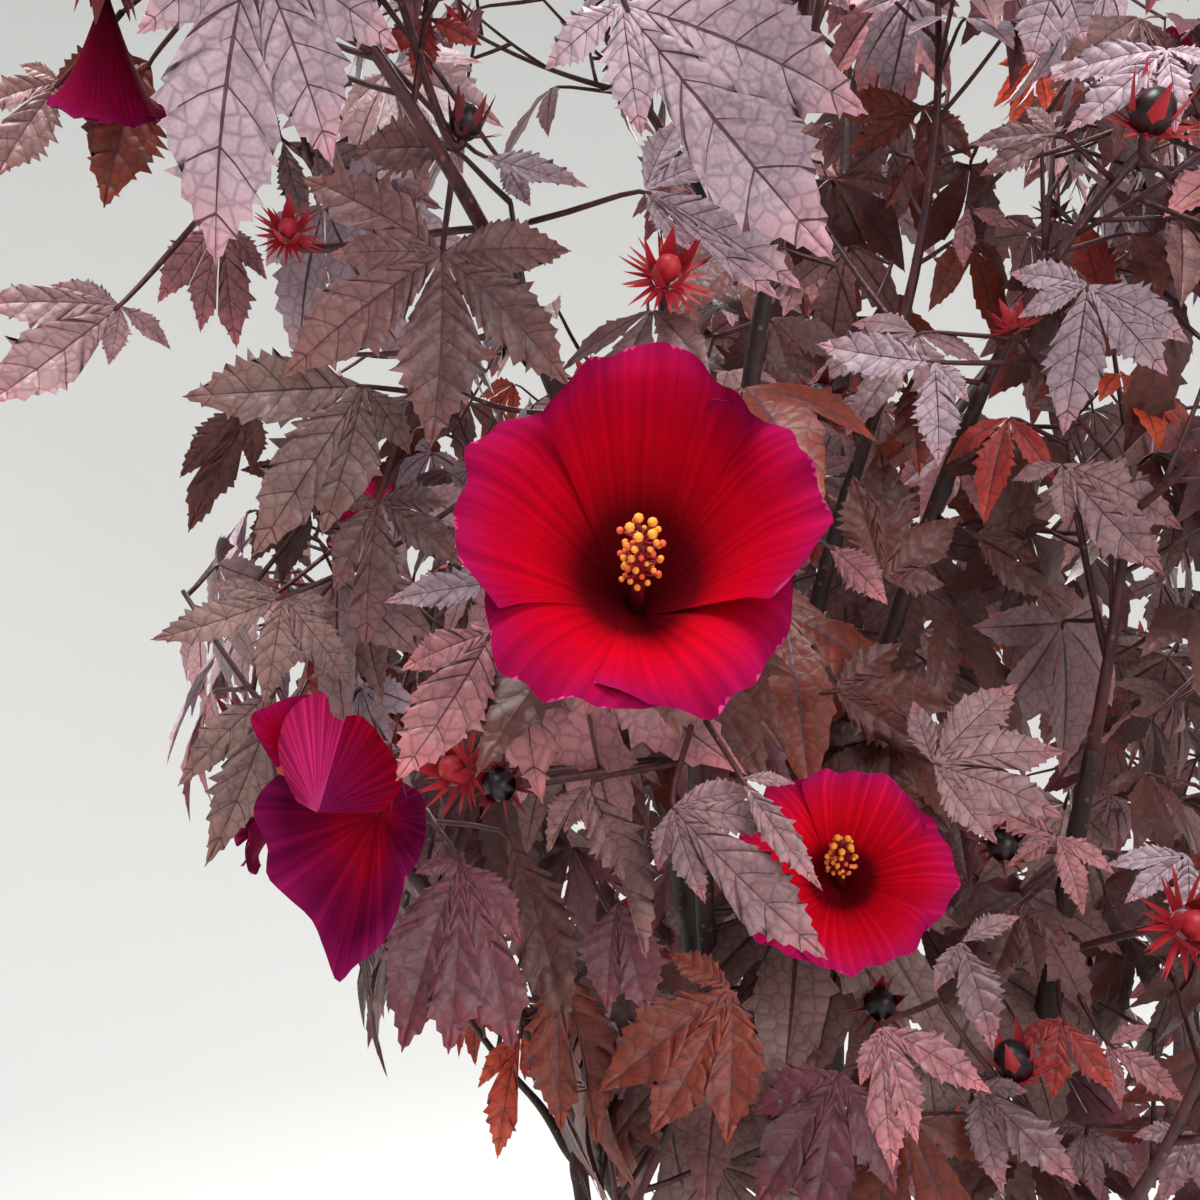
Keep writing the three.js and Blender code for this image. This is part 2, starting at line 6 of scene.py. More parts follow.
import bpy
import numpy as np
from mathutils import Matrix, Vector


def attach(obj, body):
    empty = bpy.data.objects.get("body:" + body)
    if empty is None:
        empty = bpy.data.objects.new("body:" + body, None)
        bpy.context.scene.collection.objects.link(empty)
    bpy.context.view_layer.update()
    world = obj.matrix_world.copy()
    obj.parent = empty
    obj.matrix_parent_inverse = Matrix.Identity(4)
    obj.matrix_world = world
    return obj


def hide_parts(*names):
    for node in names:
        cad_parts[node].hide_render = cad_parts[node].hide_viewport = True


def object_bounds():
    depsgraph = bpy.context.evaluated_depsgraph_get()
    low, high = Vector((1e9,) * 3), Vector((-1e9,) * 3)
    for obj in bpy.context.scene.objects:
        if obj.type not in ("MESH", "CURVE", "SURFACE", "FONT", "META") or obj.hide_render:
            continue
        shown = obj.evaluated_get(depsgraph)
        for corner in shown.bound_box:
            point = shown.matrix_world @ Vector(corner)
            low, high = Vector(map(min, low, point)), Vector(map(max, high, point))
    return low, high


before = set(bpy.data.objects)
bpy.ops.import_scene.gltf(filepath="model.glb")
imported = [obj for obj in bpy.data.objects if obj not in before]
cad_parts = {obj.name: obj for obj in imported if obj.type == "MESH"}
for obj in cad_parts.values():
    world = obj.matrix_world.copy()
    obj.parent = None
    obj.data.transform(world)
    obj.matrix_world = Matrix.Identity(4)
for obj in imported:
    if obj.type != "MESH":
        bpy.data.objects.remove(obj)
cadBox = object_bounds()

mm = 0.001
up = np.array((0.0, 0.0, 1.0))
fullTurn = 2 * math.pi

photoView = {
    "place": (-100, -730, 1260),  # millimetres, the lens close in front of the crown
    "tilt": 3,                    # degrees above the level
    "angle": 50,                  # degrees across the picture
    "pixels": 1200,
}
lens = np.array(photoView["place"], float)
tilt, half = math.radians(photoView["tilt"]), photoView["pixels"] / 2
viewAhead = np.array((0, math.cos(tilt), math.sin(tilt)))
viewRight, viewUp = np.array((1.0, 0, 0)), np.cross((1.0, 0, 0), viewAhead)
focal = half / math.tan(math.radians(photoView["angle"] / 2))  # in pixels


def unit(v):
    return v / np.linalg.norm(v)


def vector(v):
    return np.array(v, float)


def mixed(a, b, share):
    return a + (b - a) * share


def atPixel(pixel, depth):  # the point that a pixel of the photo shows, this far ahead of the lens
    x, y = (pixel[0] - half) / focal, (half - pixel[1]) / focal
    return lens + depth * (viewAhead + viewRight * x + viewUp * y)


def toPixels(points):  # x, y and depth of each point
    offset = np.asarray(points) - lens
    depth = offset @ viewAhead
    safe = np.where(np.abs(depth) < 1, 1, depth)
    return half + focal * (offset @ viewRight) / safe, half - focal * (offset @ viewUp) / safe, depth


def bezier(handles, shares):
    shares = np.asarray(shares, float)[..., None]
    points = [np.asarray(h, float) + 0 * shares for h in handles]
    while len(points) > 1:
        points = [a + (b - a) * shares for a, b in zip(points, points[1:])]
    return points[0]


def bezierTangent(handles, share):
    steps = [np.subtract(b, a) for a, b in zip(handles, handles[1:])]
    return unit(bezier(steps, share))


def seededRandom(seed):  # the source's own generator, 0 to 1
    state = [seed * 2654435761 % 2 ** 32]

    def draw():
        state[0] = (state[0] * 1664525 + 1013904223) % 2 ** 32
        return state[0] / 2 ** 32
    return draw


def within(span, draw):
    return mixed(span[0], span[1], draw())


def squareTo(forward):
    reference = (0, 1, 0) if abs(forward[1]) < 0.9 else (1, 0, 0)
    side = unit(np.cross(forward, reference))
    return side, unit(np.cross(side, forward))


def onCircle(side, over, turn):
    return side * math.cos(turn) + over * math.sin(turn)


def roundShoot(forward, degrees):
    return onCircle(*squareTo(forward), math.radians(degrees))


# The limbs, by the source's rule: main stem, canes, boughs.

stem = {
    "height": 240, "footRadius": 23, "topRadius": 15,
    "flare": 1.6, "flareHeight": 75, "lean": (10, -14),
}
caneSize = {"footRadius": 9.5, "tipRadius": 4}
boughSize = {"footRadius": 5, "tipRadius": 3.3}
limbRule = {
    "first": (0.3, 0.08), "second": (0.5, 0.62),  # handles of a limb's curve, shares out and up
    "widest": 0.75, "entry": 0.46, "climb": 50,
    "forks": (0.2, 0.9, 0.01),
    "jointGap": 0.3,
}

masses = [  # name, carrier, middle, reach in millimetres, and what the row fixes
    ("front_top_left", "main_stem", (-185, -345, 1450), 190,
     {"along": 0.78, "via": (-66, -175, 1182), "end": (-138, -317, 1403)}),
    ("front_left", "front_top_left", (-205, -300, 1250), 175, {}),
    ("front_middle", "front_top_left", (-75, -345, 1290), 170, {}),
    ("front_low_left", "front_top_left", (-105, -300, 1100), 175, {}),
    ("front_top", "front_top_left", (-35, -330, 1465), 175, {"along": 0.78}),
    ("front_rise", "front_top_left", (35, -190, 1500), 165, {"along": 0.73, "end": (15, -185, 1361)}),
    ("front_top_right", "front_top_left", (155, -235, 1460), 180, {"along": 0.69, "end": (50, -235, 1370)}),
    ("front_foot", "front_top_left", (-60, -260, 840), 180, {"seed": 40}),
    ("front_right", "main_stem", (90, -265, 1310), 180, {"along": 0.58}),
    ("front_low_right", "front_right", (85, -300, 1105), 180, {}),
    ("front_right_foot", "front_right", (140, -200, 650), 175, {}),
    ("right", "main_stem", (320, -80, 1310), 200, {"along": 0.42}),
    ("right_low", "right", (310, -130, 1060), 190, {}),
    ("right_foot", "right", (270, -60, 800), 185, {}),
    ("right_back", "right", (280, 140, 1190), 195, {}),
    ("top", "main_stem", (45, 0, 1665), 190, {"along": 0.97}),
    ("top_left", "top", (-105, -110, 1590), 180, {"seed": 41}),
    ("top_right", "top", (200, 20, 1520), 190, {}),
    ("heart", "top", (-50, -90, 1330), 165, {}),
    ("back", "main_stem", (50, 290, 1270), 195, {"along": 0.74}),
    ("back_top", "back", (35, 175, 1500), 190, {}),
    ("back_low", "back", (-40, 260, 1010), 185, {}),
    ("back_right_foot", "back", (170, 210, 880), 185, {}),
    ("left_back", "main_stem", (-175, 160, 1330), 190, {"along": 0.58}),
    ("left", "left_back", (-185, -50, 1225), 170, {}),
    ("left_low", "left_back", (-195, 120, 1050), 180, {}),
    ("left_foot", "left_back", (-140, 60, 720), 180, {}),
]
massNames = [row[0] for row in masses]
massMiddles = np.array([row[2] for row in masses], float)
massReaches = np.array([row[3] for row in masses], float)


def limbOf(name, handles, footRadius, tipRadius, count=33):
    shares = np.linspace(0, 1, count)
    return {
        "name": name,
        "handles": handles,
        "points": bezier(handles, shares),
        "radii": mixed(footRadius, tipRadius, shares),
        "carrier": None,
    }


def stemLimb():
    tip = (stem["lean"][0], stem["lean"][1], stem["height"])
    limb = limbOf("main_stem", [(0, 0, 0), (0, 0, stem["height"] / 2), tip], stem["footRadius"], stem["topRadius"])
    rise = np.linspace(0, 1, len(limb["radii"])) * stem["height"]
    limb["radii"] = limb["radii"] * (1 + (stem["flare"] - 1) * np.clip(1 - rise / stem["flareHeight"], 0, 1) ** 2)
    return limb


def radiusAt(limb, share):
    return np.interp(share, np.linspace(0, 1, len(limb["radii"])), limb["radii"])


def forkShare(carrier, point):
    shares = np.arange(*limbRule["forks"])
    way = np.asarray(point) - bezier(carrier["handles"], shares)
    climb = np.degrees(np.arctan2(way[:, 2], np.hypot(way[:, 0], way[:, 1])))
    return shares[np.argmin(np.abs(climb - limbRule["climb"]))]


def handleThrough(via, foot, first, end):
    near, far = np.linalg.norm(via - foot), np.linalg.norm(end - via)
    t = near / (near + far)
    rest = via - foot * (1 - t) ** 3 - end * t ** 3 - first * 3 * (1 - t) ** 2 * t
    return rest / (3 * (1 - t) * t ** 2)


def limbTo(row, carrier):
    name, source, middle, reach, fixed = row
    kind, size = ("cane_", caneSize) if source == "main_stem" else ("bough_", boughSize)
    aim = vector(fixed.get("end", middle))
    share = fixed.get("along") or forkShare(carrier, aim)
    foot = bezier(carrier["handles"], share)
    way = aim - foot
    if "end" not in fixed:
        way -= unit(way) * reach * limbRule["entry"]
    handles = [foot + way * (out, out, rise) for out, rise in (limbRule["first"], limbRule["second"])]
    if "via" in fixed:
        handles[1] = handleThrough(vector(fixed["via"]), foot, handles[0], foot + way)
    footRadius = min(size["footRadius"], radiusAt(carrier, share) * limbRule["widest"])
    limb = limbOf(kind + name, [foot, *handles, foot + way], footRadius, size["tipRadius"])
    limb.update(carrier=carrier, fork=share)
    return limb


limbs = {"main_stem": stemLimb()}
for row in masses:
    limbs[row[0]] = limbTo(row, limbs[row[1]])
print("limbs grown:", len(limbs))


# The open spaces: each mass's cell, each bloom's room, and where the photo shows sky.

blooms = [  # mass, middle of the rim, the way it faces and its width, millimetres
    ("front_middle", (-90, -421, 1292), (0.02, -1, 0.3), 95),
    ("front_left", (-182, -366, 1213), (-0.78, -0.6, -0.16), 84),
    ("front_low_right", (-6, -280, 1186), (-0.15, -1, 0.45), 78),
    ("front_top_left", (-267, -300, 1456), (-0.65, 0.12, -0.7), 62),
    ("front_right", (145, -330, 1205), (0.5, -1, 0.1), 78),
    ("right", (400, -170, 1350), (0.8, -0.7, 0.2), 84),
    ("right_low", (365, -235, 1085), (0.5, -0.9, 0.1), 80),
    ("right_back", (385, 170, 1230), (0.9, 0.4, 0.2), 84),
    ("back", (70, 400, 1300), (0.1, 1, 0.2), 86),
    ("back_low", (-60, 350, 1040), (-0.2, 1, 0.1), 80),
    ("left_back", (-270, 190, 1370), (-0.9, 0.4, 0.3), 84),
    ("left", (-282, -50, 1190), (-1, -0.1, 0.1), 80),
    ("top_left", (-165, -185, 1680), (-0.5, -0.6, 0.6), 80),
    ("top_right", (270, 40, 1620), (0.7, 0, 0.7), 80),
]
bloomRoom = {"radius": 1.02, "behind": 0.7, "ahead": 170}


def depthInCell(index, points):
    toMiddle = np.linalg.norm(points[:, None] - massMiddles[None], axis=2)
    power = toMiddle ** 2 - massReaches ** 2
    apart = np.linalg.norm(massMiddles - massMiddles[index], axis=1)
    apart[index] = 1
    walls = (power - power[:, index:index + 1]) / (2 * apart)
    walls[:, index] = massReaches[index] - toMiddle[:, index]
    return walls.min(1)


def inBloomRoom(points):
    hit = np.zeros(len(points), bool)
    for mass, middle, faces, across in blooms:
        facing, half = unit(vector(faces)), across / 2
        offset = points - np.array(middle)
        ahead = offset @ facing
        aside = np.linalg.norm(offset - ahead[:, None] * facing, axis=1)
        hit |= (ahead > -half * bloomRoom["behind"]) & (ahead < bloomRoom["ahead"]) \
            & (aside < half * bloomRoom["radius"])
    return hit


def outsideBox(points, spare=20):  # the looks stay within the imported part's box and a little more
    low, high = np.array(cadBox) / mm
    return (points < low - spare).any() or (points > high + spare).any()


# The growth rule's numbers: shoots, finer shoots and leaves.

leaderRule = {"footRadius": 2.6, "tipRadius": 1.2, "beyond": 0.34, "lift": 0.14, "bow": 0.5}
twigRule = {
    "count": 3, "footRadius": 1.7, "tipRadius": 1.0,
    "first": 0.2, "last": 0.84, "length": 0.6, "shorter": 0.2, "uneven": (0.85, 1.15),
    "turnJitter": 30, "forward": 0.55, "up": 0.25, "rise": 0.18,
    "tries": 4, "nextTurn": 72, "tested": 5,
}
finerRule = {
    "onLeader": 6, "onTwig": 3, "footRadius": 1.1, "tipRadius": 0.75,
    "first": 0.45, "drift": 0.4, "spare": 0.2, "last": 0.92,  # where each leaves its carrier
    "turnJitter": 60, "massTurn": 31, "length": (0.24, 0.36), "forward": 0.7, "up": 0.3, "rise": 0.15,
    "tries": 4, "tested": 4,
}
leafRule = {
    "spacing": 23,                # between leaves along a shoot
    "last": 0.98, "smaller": 0.25, "uneven": (0.9, 0.2),
    "petiole": (30, 52), "forward": 0.45, "up": 0.25,
    "out": 0.5, "away": 0.35, "down": (0.55, 1.35),
    "leanAway": (0.6, 1.5), "leanAside": (-0.35, 0.35),
    "length": (62, 84),           # of the middle lobe
    "broad": (0.9, 0.25),
    "tries": 7, "nextTurn": 63, "turnJitter": 20,
    "apart": 5,                   # between the blades of two leaves
    "mingle": 16,                 # that a tip may reach in among the next mass's leaves
    "fromWood": 5,
    "fiveLobed": 0.72, "wideLobed": 0.6,
}
leafRows = {"stout": (0.8, 0.2, 1), "finer": (0.9, 0.4, 0.86)}  # how closely leaves stand, the first's share, size
shootRoom = {"wall": 1.5, "wood": 3, "sky": 0.99}  # millimetres from its cell's walls and from wood, share of sky
goldenTurn, massTurn, firstSeed = 137.5, 47, 6
crownMiddle = np.array((30.0, 0, 0))


# Leaves. A leaf is a palmate blade of toothed lobes on a petiole.

lobeSets = {
    "five": [(-96, 0.6), (-47, 0.88), (0, 1.0), (47, 0.88), (96, 0.6)],
    "narrow": [(-80, 0.5), (-38, 0.84), (0, 1.0), (38, 0.84), (80, 0.5)],
    "three": [(-52, 0.74), (0, 1.0), (52, 0.74)],
}
bladeLooks = {
    "halfWidth": 0.162,   # of a lobe, over its length
    "lengths": (0.94, 1.05), "widths": (0.92, 1.08), "droops": (0.7, 1.4), "folds": (0.6, 1.3),  # lobe by lobe
    "outerDroop": 0.04,
    "droop": (0.10, 0.42),
    "fold": (4, 24),      # degrees that each side of a lobe rises
    "bend": 0.1, "twist": 0.16,
    "tooth": 0.19,        # over the half width
    "uneven": 0.42,       # of the teeth
    "quilt": 0.015,       # swelling between side veins, over the length
    "sinkVein": 0.006,
    "wave": 0.02,
    "openSide": 62, "widestGap": 70,
}


def lobeWidth(t):
    return np.sin(math.pi * np.clip(t, 0, 1) ** 1.05) ** 1.3 + 0.12 * (1 - t) ** 3


def gridFaces(rows, columns):
    ids = np.arange(rows * columns).reshape(rows, columns)
    return np.stack([ids[:-1, :-1], ids[:-1, 1:], ids[1:, 1:], ids[1:, :-1]], 2).reshape(-1, 4)


def lobeGrid(teeth, columns, veined):
    # each row: share along the rim, share along the midrib, width, puff, side vein, tooth
    rows = [(0.015, 0.012, 0.05, 0.0, 0, 0), (0.07, 0.04, lobeWidth(0.07), 0.3, 0, 0)]
    marks = np.linspace(0.13, 0.965, teeth + 1) ** 0.96
    for i, (a, b) in enumerate(zip(marks, marks[1:])):
        tip = mixed(a, b, 0.85)
        reach = lobeWidth(tip) + bladeLooks["tooth"] * (0.3 + 0.7 * lobeWidth(tip))
        rows.append((a, None, lobeWidth(a) * 0.96, 1.0 if i % 2 or not veined else 0.75, 0, 0))
        if veined and i % 2 == 0:  # every second tooth ends a side vein
            rows += [(tip - 0.009, None, reach * 0.97, 0.0, 1, 1), (tip + 0.004, None, reach, 0.0, 0, 1)]
        else:
            rows.append((tip, None, reach, 0.8 if veined else 0.0, 0, 1))
    rows += [(0.972, None, lobeWidth(0.972), 0.5, 0, 0), (1.0, 0.993, 0.012, 0.0, 0, 0)]
    edge, wide, puff, vein, toothed = (np.array([row[i] for row in rows]) for i in (0, 2, 3, 4, 5))
    lean = bladeLooks["halfWidth"] * 1.05
    middle = np.array([max(r[0] - lean * r[2], 0.45 * r[0]) if r[1] is None else r[1] for r in rows])
    middle = np.maximum.accumulate(middle + np.arange(len(rows)) * 1e-4)
    columns = np.array(columns)
    outward = np.abs(np.concatenate([-columns[:0:-1], columns]))[None]

    def whole(part, sign=1):  # both sides share the midrib
        return np.concatenate([sign * part[:, :0:-1], part], 1)
    across = whole(wide[:, None] * columns[None], -1)
    along = whole(middle[:, None] + (edge - middle)[:, None] * columns[None] ** 1.2)
    tone = np.zeros((len(rows) - 1, across.shape[1] - 1), int)
    tone[:, len(columns) - 2:len(columns)] = 1
    tone[vein[:-1] == 1, :] = 1
    return {
        "across": across, "along": along, "puff": whole(puff[:, None] * np.sin(math.pi * columns[None] ** 0.9)),
        "faces": gridFaces(*across.shape), "tone": tone.ravel(), "rim": outward ** 6 * toothed[:, None],
        "sunk": (vein[:, None] | np.roll(vein, 1)[:, None]) * (1 - np.abs(across / across.max()) ** 2),
        "uv": np.stack([np.sign(across) * outward, along], 2).reshape(-1, 2) * (0.5, 1) + (0.5, 0),
    }


tiers = {
    "near": lobeGrid(12, (0, 0.035, 0.34, 0.68, 1), True),
    "middle": lobeGrid(9, (0, 0.06, 0.52, 1), False),
    "far": lobeGrid(6, (0, 0.08, 1), False),
}


def bladeMesh(leaf):
    grid, lobes = tiers[leaf["tier"]], leaf["lobes"]
    draw = np.random.default_rng(leaf["seed"])
    parts, count = [], 0
    for i, (angle, ratio) in enumerate(lobes):
        length = leaf["length"] * ratio * draw.uniform(*bladeLooks["lengths"])
        wide = bladeLooks["halfWidth"] * length * leaf["broad"] * draw.uniform(*bladeLooks["widths"])
        droop = leaf["droop"] * draw.uniform(*bladeLooks["droops"]) + bladeLooks["outerDroop"] * abs(angle) / 50
        fold = math.tan(math.radians(leaf["fold"] * draw.uniform(*bladeLooks["folds"])))
        bend = -math.copysign(bladeLooks["bend"], angle) * draw.uniform(0.2, 1.2) if angle \
            else draw.uniform(-0.07, 0.07)
        ragged = 1 + grid["rim"] * bladeLooks["uneven"] * (draw.uniform(0, 1, grid["rim"].shape) - 0.62)
        x, y = grid["across"] * wide * ragged, grid["along"] * length
        for side, other, column in ((-1, i - 1, 0), (1, i + 1, -1)):  # no lobe passes halfway to the next one
            gap = abs(lobes[other][0] - angle) / 2 if 0 <= other < len(lobes) else bladeLooks["openSide"]
            wall = y[:, column] * math.tan(math.radians(min(gap, bladeLooks["widestGap"])))
            shrink = np.minimum(1, wall / np.maximum(np.abs(x[:, column]), 1e-6))[:, None]
            x = np.where(side * x > 0, x * shrink, x)
        z = np.abs(x) * fold * (0.4 + 0.6 * grid["along"])
        z = z + grid["puff"] * length * bladeLooks["quilt"] - grid["sunk"] * length * bladeLooks["sinkVein"]
        share = np.clip(np.abs(grid["across"]), 0, 1)
        phase = draw.uniform(0, 6)
        z = z + np.sin(y / length * 9 + phase + np.sign(x) * 1.1) * share ** 2 * length * bladeLooks["wave"]
        x = x + bend * y * y / length
        turn = 2 * droop / length  # the lobe rolls down along its length
        rolled = np.sin(turn * y) / turn - z * np.sin(turn * y)
        height = -(1 - np.cos(turn * y)) / turn + z * np.cos(turn * y)
        height = height + x * draw.uniform(-bladeLooks["twist"], bladeLooks["twist"]) * grid["along"]
        a = math.radians(angle + draw.uniform(-4, 4) * (len(lobes) > 1))
        place = leaf["base"] + (x * math.cos(a) + rolled * math.sin(a)).reshape(-1, 1) * leaf["cross"] \
            + (rolled * math.cos(a) - x * math.sin(a)).reshape(-1, 1) * leaf["heading"] \
            + height.reshape(-1, 1) * leaf["normal"]
        parts.append((place, grid["faces"] + count, grid["tone"], grid["uv"]))
        count += len(place)
    return [np.concatenate(part) for part in zip(*parts)]


def leafSamples(leaf, parts=(0.25, 0.5, 0.75, 0.97)):
    points = []
    for angle, ratio in leaf["lobes"]:
        a = math.radians(angle)
        for part in parts:
            d = leaf["length"] * ratio * part
            drop = leaf["droop"] * d * d / leaf["length"]
            points.append(leaf["base"] + leaf["cross"] * math.sin(a) * d + leaf["heading"] * math.cos(a) * d
                          - leaf["normal"] * drop)
    return np.array(points)


def finishLeaf(leaf, heading, lean):
    leaf["heading"] = unit(heading)
    leaf["cross"] = unit(np.cross(leaf["heading"], lean))
    leaf["normal"] = unit(np.cross(leaf["cross"], leaf["heading"]))
    return leaf


def hungFrom(place, reach, aside, draw):  # the way that a leaf hangs and the way that its face leans
    away = place - crownMiddle
    away[2] = 0
    away = unit(away)
    heading = reach * leafRule["out"] + away * leafRule["away"] - up * within(leafRule["down"], draw)
    return heading, up + away * within(leafRule["leanAway"], draw) + aside * within(leafRule["leanAside"], draw)


def newLeaf(size, draw, **more):
    return {
        "size": size, "length": within(leafRule["length"], draw) * size,
        "broad": leafRule["broad"][0] + leafRule["broad"][1] * draw(),
        "lobes": lobeSets[("five" if draw() < leafRule["wideLobed"] else "narrow")
                          if draw() < leafRule["fiveLobed"] else "three"],
        "droop": within(bladeLooks["droop"], draw), "fold": within(bladeLooks["fold"], draw),
        "seed": int(draw() * 1e6), **more,
    }


def leafOn(shoot, share, turn, size, draw):
    start, forward = bezier(shoot["handles"], share), bezierTangent(shoot["handles"], share)
    out = roundShoot(forward, turn)
    reach = unit(out + forward * leafRule["forward"] + up * leafRule["up"])
    base = start + reach * within(leafRule["petiole"], draw) * (0.35 + 0.65 * size)
    heading, lean = hungFrom(base, reach, out, draw)
    return finishLeaf(newLeaf(size, draw, start=start, base=base, reach=reach), heading, lean)


# Leaves that the photo shows one by one: pixel where the petiole ends, millimetres ahead of the lens, pixels of
# the lobes' tips, the longest first, how far the blade tips from the lens (0) to the sky (90), its tone and how
# broad its lobes are. Some rows go on with how far its sides fold up and where its petiole starts.

photoLeaves = [
    ((442, 254), 395, [(440, 457), (262, 368), (318, 243), (303, 147), (577, 375), (574, 226)],
     18, "maroon", 1.15, 12, ((452, 176), 430)),
    ((364, 386), 420, [(180, 383), (254, 566), (338, 537), (418, 443)], 18, "olive", 1.2),
    ((252, -55), 310, [(190, 257), (347, 150), (420, 40), (120, 20)], 15, "pale", 1.25, 8),
    ((622, 4), 330, [(841, 266), (896, 66), (644, 140), (540, 60)], 15, "pale", 1.2, 8),
    ((120, 306), 425, [(-12, 415), (-30, 291), (116, 366), (182, 340), (50, 274)],
     25, "mauve", 1.15, 12, ((205, 212), 455)),
    ((645, 190), 430, [(807, 286), (690, 252), (742, 136), (676, 108), (772, 300)],
     30, "pale", 1.0, 12, ((530, 222), 445)),
    ((283, 142), 470, [(444, 214), (304, 224), (246, 92)], 20, "mauve"),
    ((222, 222), 480, [(225, 350), (273, 277), (150, 292), (190, 330)], 20, "pink"),
    ((452, 148), 440, [(354, 142)], 25, "maroon", 1.7),
    ((150, 62), 470, [(92, 203), (40, 75)], 20, "rust", 1.3),
    ((60, 82), 450, [(-14, 168), (-30, 100), (20, 60)], 25, "maroon", 1.3),
    ((480, 156), 435, [(584, 184)], 40, "pale", 1.1),
    ((500, 160), 450, [(534, 206)], 20, "pale", 1.3),
    ((430, 18), 470, [(482, 48), (372, 48), (410, 88)], 20, "red", 1.3),
    ((250, 402), 500, [(172, 522), (165, 470), (208, 524), (262, 470)], 15, "deep"),
    ((300, 470), 505, [(236, 470), (250, 560), (300, 590), (352, 540)], 15, "deep"),
    ((283, 597), 440, [(148, 652), (258, 706), (353, 684), (210, 583), (345, 606)],
     15, "olive", 0.95, 12, ((370, 560), 455)),
    ((275, 690), 470, [(231, 868), (160, 772)], 10, "olive", 0.85),
    ((378, 500), 440, [(345, 642), (327, 582), (474, 562), (455, 500), (330, 500)], 15, "maroon", 1.25),
    ((505, 582), 385, [(376, 592)], 30, "pale", 1.1),
    ((492, 632), 345, [(399, 788), (470, 620), (395, 655)], 15, "pink", 1.25),
    ((588, 783), 400, [(664, 946), (540, 848), (640, 905), (560, 830)], 15, "maroon", 1.2),
    ((672, 808), 382, [(822, 962), (700, 902), (792, 812), (762, 770), (650, 872)], 15, "mauve", 1.0),
    ((742, 778), 380, [(808, 902), (800, 780)], 20, "mauve", 0.75),
    ((460, 862), 405, [(467, 1048), (388, 1052), (538, 934), (541, 1030), (414, 866)], 15, "grape", 1.25),
    ((507, 832), 440, [(582, 1028)], 10, "deep", 1.0),
    ((731, 988), 430, [(594, 1096), (748, 1148), (664, 948), (672, 1140)], 15, "rust", 1.35),
    ((618, 902), 440, [(652, 1016), (600, 1010)], 12, "grape", 1.5),
    ((560, 962), 470, [(552, 1140), (612, 1134), (578, 1034)], 10, "rust", 1.2),
    ((521, 1032), 500, [(494, 1160), (474, 1084), (528, 1082)], 15, "ember", 0.95),
    ((840, 1072), 440, [(756, 1215), (820, 1240), (748, 1104), (906, 1190)], 12, "grape", 1.3),
    ((881, 1027), 405, [(890, 1180), (994, 1082), (854, 1084), (934, 1146)],
     20, "pink", 0.95, 12, ((938, 1000), 440)),
    ((962, 942), 415, [(997, 1046), (1017, 902), (930, 985)], 25, "mauve", 1.15, 12, ((985, 925), 460)),
    ((978, 1086), 430, [(1082, 1190), (990, 1196), (1030, 1090)], 20, "mauve", 1.1),
    ((934, 764), 450, [(1079, 800), (1066, 736), (1012, 669), (910, 694), (985, 850)], 20, "mauve", 1.05),
    ((834, 690), 500, [(966, 695), (923, 753), (900, 640)], 15, "deep", 1.2),
    ((884, 578), 480, [(881, 436), (976, 516), (950, 588), (840, 470)], 15, "deep", 1.3),
    ((828, 545), 420, [(896, 597)], 30, "pink", 1.2),
    ((975, 536), 500, [(1062, 602), (1054, 520), (1040, 560)], 15, "deep", 1.2),
    ((1062, 464), 470, [(1158, 584), (1204, 512), (1060, 526), (1010, 478)], 18, "mauve", 1.1),
    ((1057, 836), 462, [(972, 798), (1091, 914), (1010, 870), (1120, 870)], 20, "pink", 1.0),
    ((1021, 907), 470, [(985, 978), (1045, 982), (1072, 940)], 10, "deep", 1.3),
    ((1188, 855), 460, [(1117, 896), (1102, 858), (1190, 950)], 25, "pale", 1.0),
    ((1062, 1018), 466, [(1104, 1098), (1050, 1100), (1012, 1040)], 15, "red", 1.1),
    ((1108, 1044), 472, [(1184, 1097), (1150, 1020), (1120, 1110)], 20, "pink"),
    ((1085, 1128), 470, [(1096, 1206), (1152, 1180), (1040, 1122), (1066, 1190)], 15, "mauve"),
    ((1188, 1128), 450, [(1129, 1136), (1160, 1210), (1220, 1200)], 20, "mauve"),
    ((923, 107), 560, [(818, 104), (850, 154), (941, 182), (985, 150)], 20, "rust", 1.1),
    ((1060, -25), 470, [(1020, 64), (1090, 40)], 25, "pale", 1.6),
    ((1167, 49), 430, [(1069, 132), (1048, 53), (1183, 122), (1220, 60)], 30, "pale", 1.0),
    ((1057, 133), 470, [(979, 180), (968, 129), (1029, 98)], 25, "mauve"),
    ((968, 208), 520, [(1013, 225), (960, 262)], 30, "pink"),
    ((1088, 285), 460, [(1071, 440), (1010, 261), (1009, 310), (1166, 368), (1204, 330)], 20, "pale", 1.15),
    ((934, 362), 470, [(812, 354), (946, 460), (974, 394)], 25, "pale", 1.15),
    ((915, 372), 500, [(910, 470)], 15, "rust", 1.2),
    ((1110, 330), 520, [(1074, 205)], 20, "red"),
]
placedSeed = 500


def placedLeaf(seed, base, depth, tips, face, tone, broad=1.0, fold=12, stalk=None):
    base = atPixel(base, depth)
    face = math.radians(face)
    normal = unit(unit(lens - base) * math.cos(face) + up * math.sin(face))
    ways = []
    for tip in tips:  # where the sight line to the tip meets the plane of the blade
        sight = unit(atPixel(tip, 100) - lens)
        ways.append(lens + sight * (normal @ (base - lens)) / (normal @ sight) - base)
    long = max(np.linalg.norm(way) for way in ways)
    heading = unit(ways[0])
    cross = unit(np.cross(heading, normal))
    lobes = [(math.degrees(math.atan2(way @ cross, way @ heading)), np.linalg.norm(way) / long) for way in ways]
    leaf = {
        "base": base, "length": float(long), "lobes": sorted(lobes), "droop": 0.1, "fold": fold, "broad": broad,
        "seed": seed, "tier": "near", "tone": tone, "size": 1, "stalk": atPixel(*stalk) if stalk else None,
    }
    return finishLeaf(leaf, heading, normal)


